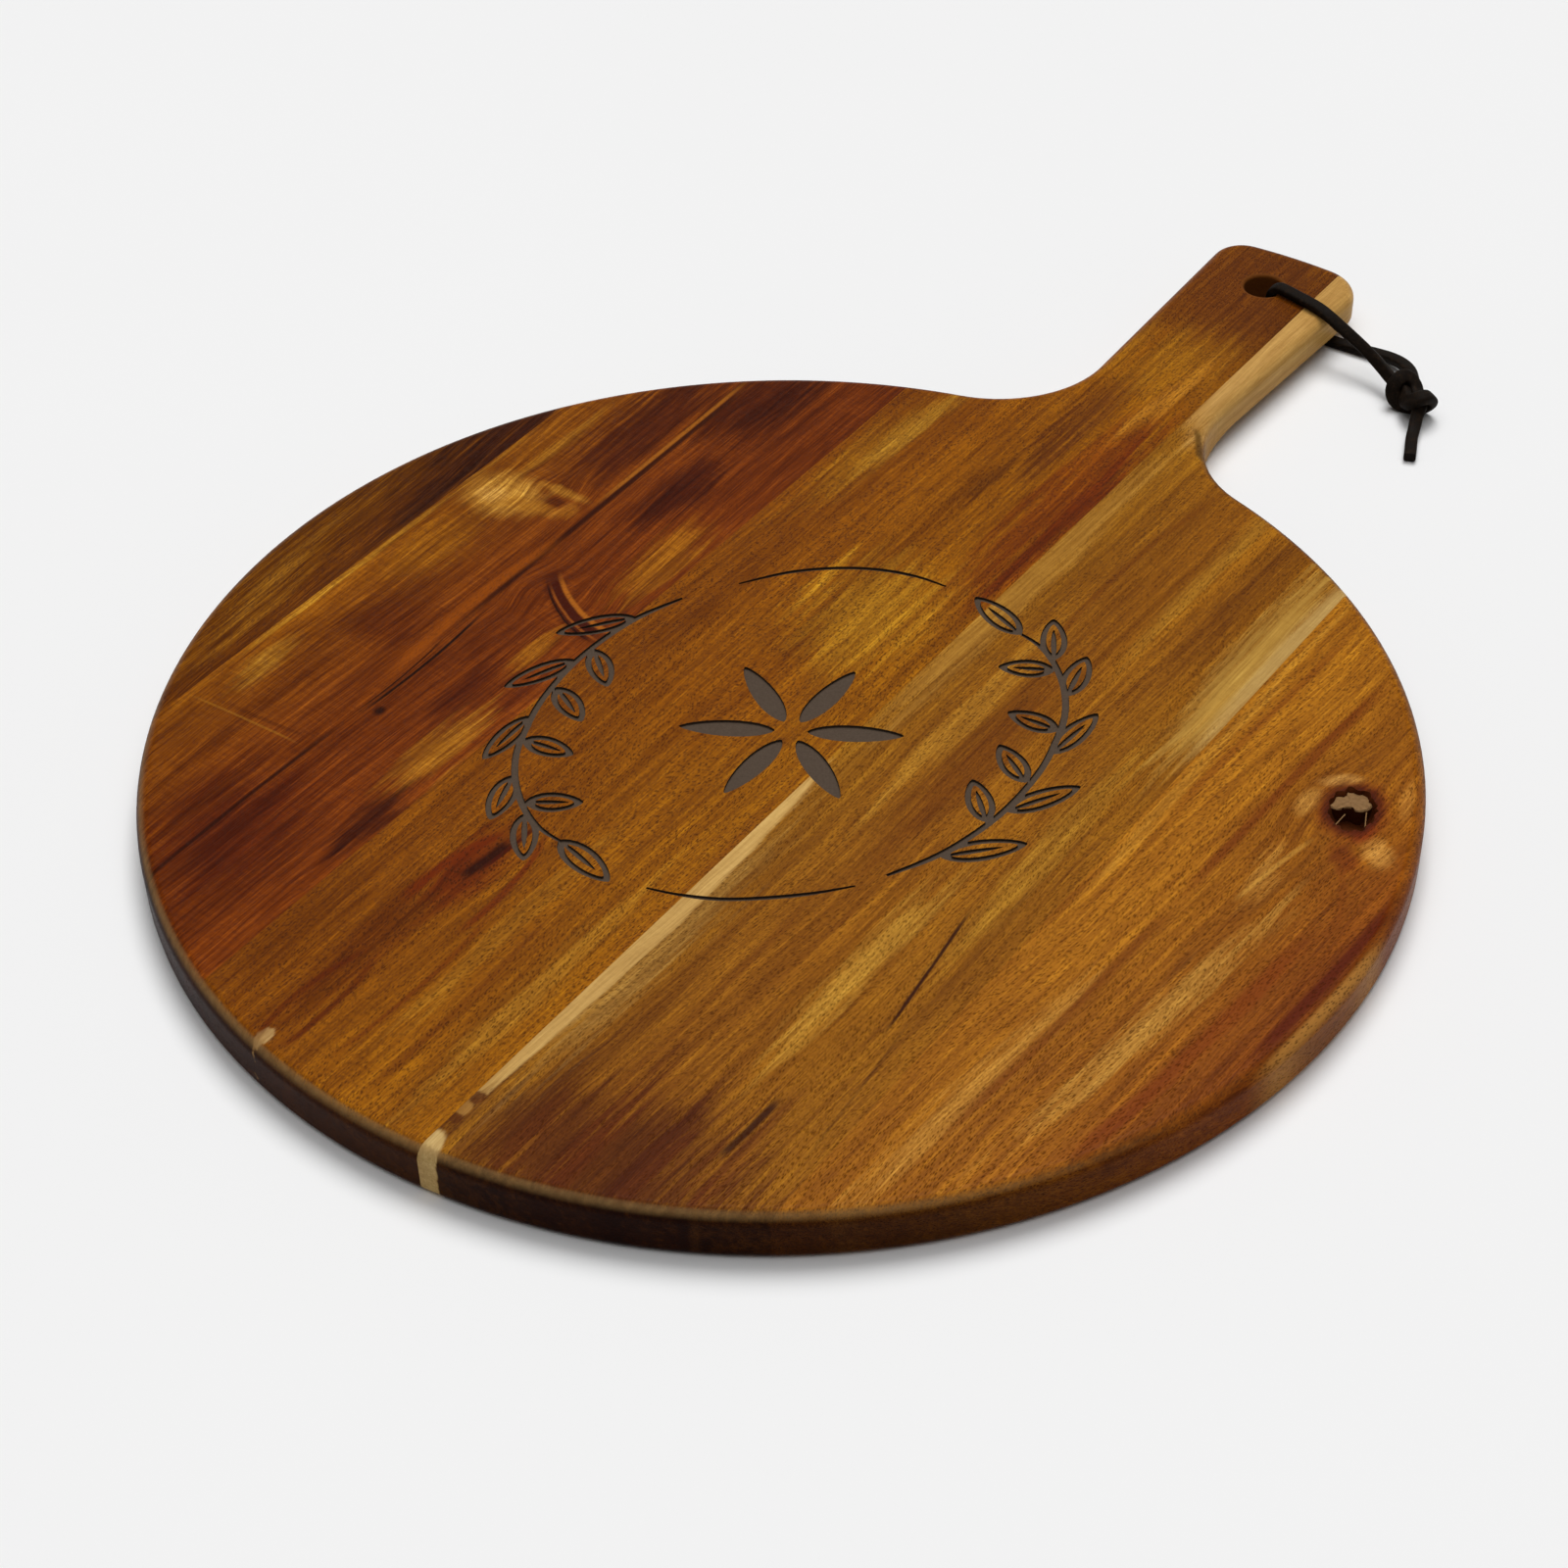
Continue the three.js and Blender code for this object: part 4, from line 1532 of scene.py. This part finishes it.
WOODS = {
    "stave_left_edge": Timber(
        "walnut_brown_wood",
        bands=(
            Band(-178, "#4a2404"), Band(-160, "#784404"), Band(-149, "#5a2a04"),
        ),
        patches=(
            Patch(-158, 85, 17, 66, "#300f02", 0.92), Patch(-152, 40, 3.5, 60, "#280b02", 0.8),
            Patch(-165, -25, 4, 32, "#9a6418", 0.6, 8), Patch(-157, -42, 3, 36, "#8f5810", 0.6, 6),
        ),
        veins=(
            Vein((-149.2, 400), (-149.2, 0), (-149.2, -400), 0.4, "#1e0801", 0.7, 0.0),
        ),
        swirls=(),
        streak=1.9, pore=0.6, pore_fine=2.0, pore_run=0.5, ripple=0.6, cloud=1.0, lean=-0.06, seed=3.1,
    ),
    "stave_left": Timber(
        "figured_red_brown_wood",
        bands=(
            Band(-150, "#8c5008"), Band(-114, "#6a2c04"), Band(-64, "#6c2e04"),
        ),
        patches=(
            Patch(-121, 98, 14, 46, "#421502", 0.9), Patch(-137, 74, 2.6, 34, "#8e5812", 0.7),
            Patch(-144, 66, 4, 26, "#82490b", 0.6), Patch(-136, 12, 11, 26, "#96590c", 0.7),
            Patch(-122, -24, 15, 15, "#5a2303", 0.7, 70), Patch(-140, -58, 5, 18, "#a06a1c", 0.8),
            Patch(-90, 76, 9, 32, "#3c1001", 0.9), Patch(-98, 125, 18, 34, "#3a1001", 0.9),
            Patch(-74, 40, 9, 26, "#96580c", 0.8), Patch(-79, -10, 4, 14, "#96580e", 0.75),
            Patch(-84, -36, 5, 20, "#441402", 0.75), Patch(-70, -32, 4, 16, "#4c1802", 0.7),
            Patch(-73, -62, 8, 26, "#985e12", 0.65, 0, 2.6), Patch(-98, -118, 24, 34, "#4e1803", 0.8),
            Patch(-70, -92, 6, 22, "#340d01", 0.9), Patch(-138, -118, 18, 26, "#6c3405", 0.5),
            Patch(-136, 43, 17, 13, "#bd8430", 0.95, 0, 1.0),
            Patch(-138, 41.5, 6.5, 5, "#d09a48", 0.7, 20, 1.0),
            Patch(-124, 43, 14, 5, "#a4681a", 0.7, 8, 1.2),
            Patch(-120, 54.5, 11, 2.8, "#a86e20", 0.7, 0, 1.0),
            Patch(-113, 48, 4, 5, "#9a5c12", 0.6, 30, 1.2), Patch(-119, 49, 6, 3, "#4a1a02", 0.7, 10, 1.0),
            Patch(-98, -56.5, 2.2, 2.6, "#240801", 0.9, 0, 0.6), Patch(-148, 0, 1.6, 80, "#ac741c", 0.75),
        ),
        veins=(
            Vein((-101, 23), (-87, 11.5), (-64, 3.4), 4.2, "#401002", 0.97, 1.0),
            Vein((-97, 22.6), (-84, 13), (-63, 7.4), 1.1, "#b4661a", 0.8, 0.6),
            Vein((-96, 17), (-86, 9.5), (-64, 2.4), 0.6, "#a4581a", 0.6, 0.6),
            Vein((-98, 18), (-86, 8), (-66, 1.0), 0.5, "#1e0601", 0.9, 0.6),
            Vein((-107, 150), (-106.5, 70), (-104.4, -30), 1.2, "#2c0b01", 0.9, 1.2),
            Vein((-109.3, 140), (-108.4, 90), (-108.2, 50), 0.9, "#a8641a", 0.75, 0.6),
            Vein((-106, 40), (-108.5, 0), (-105.5, -50), 2.2, "#9a4c08", 0.6, 1.0),
            Vein((-103, -2), (-101, -32), (-102.4, -64), 0.55, "#140501", 0.98, 0.8),
            Vein((-104.6, -18), (-102.8, -40), (-103.6, -64), 0.35, "#1e0801", 0.9, 0.8),
            Vein((-103, -60), (-104, -110), (-103, -165), 0.8, "#260901", 0.85, 1.0),
            Vein((-150, -81.5), (-130, -80.5), (-106, -80), 0.5, "#a66e1e", 0.4, 0.6),
            Vein((-136, -78.5), (-122, -77.6), (-106, -76.5), 0.8, "#3a1202", 0.4, 0.8),
        ),
        swirls=(
            Swirl(-87, 12, 24, 0.7, 0.55), Swirl(-124, 54, 18, 0.6, 0.4),
        ),
        streak=1.6, pore=0.34, pore_fine=2.2, pore_run=0.6, ripple=1.2, cloud=1.5, lean=0.0, seed=11.7,
    ),
    "stave_middle": Timber(
        "golden_brown_wood",
        bands=(
            Band(-65, "#7c4204"), Band(-34, "#804404"), Band(14, "#945804"),
        ),
        patches=(
            Patch(-38, -125, 9, 60, "#5c2602", 0.75), Patch(-8, -125, 20, 45, "#7c4304", 0.4, 0, 2.0),
            Patch(-35, -90, 10, 24, "#6c2803", 0.8, 0, 1.8), Patch(-55, 120, 8, 40, "#9c6410", 0.6),
            Patch(9, 135, 12, 95, "#742f02", 0.75), Patch(14.4, 122, 4.5, 70, "#6a2702", 0.8),
            Patch(0, 270, 44, 56, "#5e2c05", 0.85, 0, 1.0), Patch(-8, 58, 24, 35, "#b27a18", 0.75),
            Patch(-8, 184, 9, 36, "#643208", 0.75, -4, 3.4), Patch(-10, 160, 6, 24, "#5a2a05", 0.7, 8, 3.4),
            Patch(-16, 132, 4, 20, "#5c2e06", 0.7, -10, 3.0), Patch(0, 216, 24, 30, "#a86e12", 0.45),
            Patch(8, 200, 3.6, 30, "#bd7c20", 0.8, -5), Patch(-50, 142, 4.5, 40, "#ac7820", 0.7, -4),
            Patch(-20, 5, 22, 30, "#8e4e03", 0.6), Patch(-60, -140, 12, 40, "#6a3403", 0.6),
            Patch(8, -120, 5, 60, "#b27c22", 0.5), Patch(-12, -110, 4, 46, "#ae741a", 0.5),
            Patch(-38, -169.6, 2.6, 3.8, "#b08a54", 0.95, 0, 1.8, 0.4, True),
        ),
        veins=(
            Vein((-33, -77), (-33.4, -87), (-35, -98), 2.0, "#2a0a02", 0.95, 0.8),
            Vein((-31, -68), (-31, -80), (-32.5, -92), 0.8, "#451202", 0.95, 0.8),
            Vein((-36, -74), (-40.5, -90), (-42, -114), 2.0, "#6a2402", 0.85, 1.0),
            Vein((-27, -68), (-22.5, -86), (-22, -116), 1.2, "#6f2c03", 0.9, 1.0),
            Vein((-20, -96), (-17, -130), (-20, -170), 0.9, "#743604", 0.7, 1.0),
            Vein((-36, -128), (-41, -150), (-38, -176), 1.2, "#5a2002", 0.8, 1.0),
            Vein((-34, -128), (-31, -150), (-33, -176), 1.2, "#5a2002", 0.8, 1.0),
            Vein((16.8, -10), (17.2, -60), (17.4, -120), 0.8, "#7a3c06", 0.35, 0.8),
            Vein((-6, -90), (-4, -130), (-5, -176), 1.4, "#6e3604", 0.6, 1.2),
            Vein((1, 110), (3, 70), (2, 30), 0.9, "#7a3e04", 0.6, 1.2),
        ),
        swirls=(
            Swirl(-33, -87, 16, 2.0, 0.5),
        ),
        streak=1.25, pore=0.84, pore_fine=2.2, pore_run=0.8, ripple=1.05, cloud=0.6, lean=0.0, seed=23.3,
    ),
    "stave_right": Timber(
        "sapwood_edged_wood",
        bands=(
            Band(18, "#946010"), Band(56, "#844a08"), Band(94, "#945c0c"),
        ),
        patches=(
            Patch(72, -65, 6, 48, "#ba862c", 0.75), Patch(37, -95, 3.5, 60, "#6e3c05", 0.75),
            Patch(60, -156, 56, 32, "#562604", 0.85, 0, 3.2), Patch(38, -158, 4, 26, "#5a2804", 0.7),
            Patch(52, -150, 5, 38, "#5a2404", 0.75), Patch(68, -150, 6, 42, "#4e1e03", 0.8),
            Patch(84, -140, 5, 36, "#5a2404", 0.6), Patch(25, -90, 8, 76, "#a07a3c", 0.45, 0, 2.0),
            Patch(52, 20, 7, 55, "#743c05", 0.65), Patch(40, 30, 5, 50, "#b07a24", 0.5),
            Patch(88, 0, 6, 60, "#b58024", 0.6), Patch(94, 98, 8.5, 62, "#b3893c", 0.8, 2, 1.8, 1.0, True),
            Patch(100.2, 112, 4.4, 62, "#b48e4e", 0.95, 0, 0.8, 0.9, True),
            Patch(76, 110, 6, 60, "#764206", 0.65), Patch(64, 130, 4, 60, "#a07020", 0.4),
            Patch(22, 92, 8, 96, "#aa7a30", 0.6, 0, 1.6, 1.0, True),
            Patch(18.6, -80, 5.2, 74, "#c19754", 1.0, 0, 0.6, 0.35, True),
            Patch(19.6, -155.6, 2.2, 1.8, "#5a2c06", 0.85, 30, 3.0, 0.6),
            Patch(18.8, -160, 2.4, 2.6, "#a87838", 0.7, 0, 2.4, 0.6, True),
            Patch(19.6, -163.6, 2.0, 1.6, "#5a2c06", 0.8, -25, 3.0, 0.6),
            Patch(19.6, -178, 4.4, 9.4, "#c6a468", 1.0, 0, 0.3, 0.3, True),
            Patch(85, -158, 8, 3.6, "#552604", 0.75, -62, 0.5),
            Patch(87, -157.5, 5, 2, "#a06a20", 0.6, -62, 0.5),
            Patch(30, 264, 24, 80, "#be914e", 1.0, 0, 0.3, 0.4, True),
        ),
        veins=(
            Vein((83, -28), (87, -58), (90.5, -86), 0.6, "#300f02", 0.95, 0.8),
            Vein((92.5, -70), (95, -95), (98, -132), 0.5, "#3a1403", 0.4, 0.8),
            Vein((81, -112), (81, -126), (80, -140), 1.3, "#2e0d02", 0.9, 0.8),
            Vein((48, 170), (42, 120), (44, 60), 1.3, "#703a04", 0.7, 1.2),
            Vein((62, 150), (58, 100), (60, 30), 1.5, "#703c04", 0.6, 1.2),
            Vein((46, -40), (47, -80), (45, -150), 1.2, "#743e06", 0.6, 1.2),
            Vein((60, -30), (57, -80), (58, -150), 1.0, "#743e06", 0.5, 1.2),
            Vein((23, 192), (27, 186), (33, 176), 1.6, "#5f4014", 0.85, 0.6),
        ),
        swirls=(),
        streak=1.1, pore=0.7, pore_fine=2.3, pore_run=0.7, ripple=0.7, cloud=0.6, lean=0.02, seed=37.9,
    ),
    "stave_right_edge": Timber(
        "orange_brown_wood",
        bands=(
            Band(101, "#9e600e"), Band(146, "#9a5c0e"), Band(178, "#743204"),
        ),
        patches=(
            Patch(104.5, 60, 2.4, 90, "#b57a22", 0.6), Patch(143, -40, 5.5, 64, "#bd8634", 0.8, -7),
            Patch(118, -90, 5, 60, "#b98030", 0.6, -4), Patch(140, 22, 4.5, 16, "#bd8434", 0.7, 5),
            Patch(156, 27, 9, 15, "#7e4206", 0.6, 15, 1.2), Patch(154, 40, 5, 9, "#6e2c03", 0.75, 50, 1.0),
            Patch(139, 67.5, 3.2, 7.5, "#cf9648", 0.85, -50, 0.8),
            Patch(135.5, 55, 3.8, 8, "#c48a3a", 0.85, 0, 0.9),
            Patch(160, 47, 5, 8, "#c4883a", 0.6, 45, 1.4), Patch(157.5, 70, 3.5, 10, "#b5762a", 0.6, 20),
            Patch(147.2, 58, 11, 14, "#7a3003", 0.85, 15, 0.6, 0.6),
            Patch(153, 53.5, 4, 8, "#7e2c03", 0.85, 15, 0.6),
            Patch(147, 58.4, 9.2, 12, "#481602", 0.92, 18, 0.5, 0.5),
        ),
        veins=(
            Vein((131, 120), (127.5, 60), (126, -5), 2.0, "#743404", 0.8, 1.2),
            Vein((126, 10), (124.5, -40), (120, -110), 1.7, "#743804", 0.65, 1.2),
            Vein((112, 135), (110, 90), (107, 20), 1.4, "#824206", 0.6, 1.2),
            Vein((160, 16), (157, -40), (148, -100), 2.8, "#7e3604", 0.7, 2.4),
            Vein((173, 40), (172, 0), (169, -44), 2.0, "#5a1c02", 0.92, 1.0),
            Vein((176.8, 24), (176.4, -6), (172.6, -46), 1.5, "#b8803a", 0.8, 0.5),
            Vein((147, 46), (146, 26), (143, 4), 1.1, "#7a4408", 0.7, 1.0),
            Vein((144, 44), (141, 28), (138, 8), 0.9, "#c89038", 0.6, 1.0),
            Vein((150, 42), (159, 30), (163, 6), 1.6, "#7e3e06", 0.6, 1.0),
            Vein((156, 80), (160, 72), (163, 62), 1.2, "#7e4008", 0.7, 0.8),
        ),
        swirls=(
            Swirl(147, 59.5, 26, 1.2, 0.62),
        ),
        streak=1.15, pore=0.72, pore_fine=2.3, pore_run=0.65, ripple=0.6, cloud=0.7, lean=0.05, seed=51.3,
    ),
}

GLUE_LINES = (-OUTSIDE, -149.4 * MM, -64.5 * MM, 18.4 * MM, 101.5 * MM, OUTSIDE)
SLOTS = {
    "stave_left_edge": "wood_dark",
    "stave_left": "wood_red",
    "stave_middle": "wood_golden",
    "stave_right": "wood_light",
    "stave_right_edge": "wood_orange",
}
DRILLED_WALL = Stain("drilled_wall", "#7a4618", "#5a3010", scale=0.8, roughness=0.7)
GROOVE_FLOOR = Stain("groove_floor", "#5c4e42", "#463a30", scale=1.5, roughness=0.8)
# charring with painted shade: the groove walls are coloured darker than their floors to stand for the shade
# inside the cuts
CHARRED_SHADED_WALL = Stain("charred_shaded_wall", "#4c4036", "#382e26", scale=1.5, roughness=0.85)
KNOT_HOLLOW = Stain("knot_hollow", "#5e2c0e", "#2c1206", scale=0.8, roughness=0.8)
BROKEN_KNOT = Stain("broken_knot", "#9a7850", "#705032", scale=1.1, roughness=0.8)


def main() -> None:
    """Builds the paddle in order and reports each piece."""
    logging.basicConfig(level=logging.INFO, format="%(message)s")
    studio = Studio()
    studio.camera()
    for piece in Lace().build(Leather().material()):
        log.info("lace piece %s: %d faces", piece.name, len(piece.data.polygons))
    board = Board()
    blank = board.blank()
    hole = board.hole_cutter(DRILLED_WALL.material())
    carving = Carving().cutter(GROOVE_FLOOR.material(), CHARRED_SHADED_WALL.material())
    hollow = KNOT_HOLLOW.material()
    knot = OpenKnot().cutter(hollow)
    broken = OpenKnot().lump(BROKEN_KNOT.material(), hollow)
    cuts = {"stave_left": [carving], "stave_middle": [hole, carving], "stave_right": [carving],
            "stave_right_edge": [knot]}
    for (name, slot), left, right in zip(SLOTS.items(), GLUE_LINES, GLUE_LINES[1:]):
        stave = Stave(name + "_wood", slot, left, right, WOODS[name])
        piece = stave.build(blank)
        for cutter in cuts.get(name, []):
            carve(piece, cutter)
        if name == "stave_right_edge":
            for shape in broken:
                carve(piece, shape, Cut.ADD)
        stave.dress(piece)
        log.info("stave %s: %d faces", piece.name, len(piece.data.polygons))
    blank.free()
    for cutter in (hole, carving, knot, *broken):
        bpy.data.objects.remove(cutter)
    studio.floor()
    studio.light()


if __name__ == "__main__":
    main()
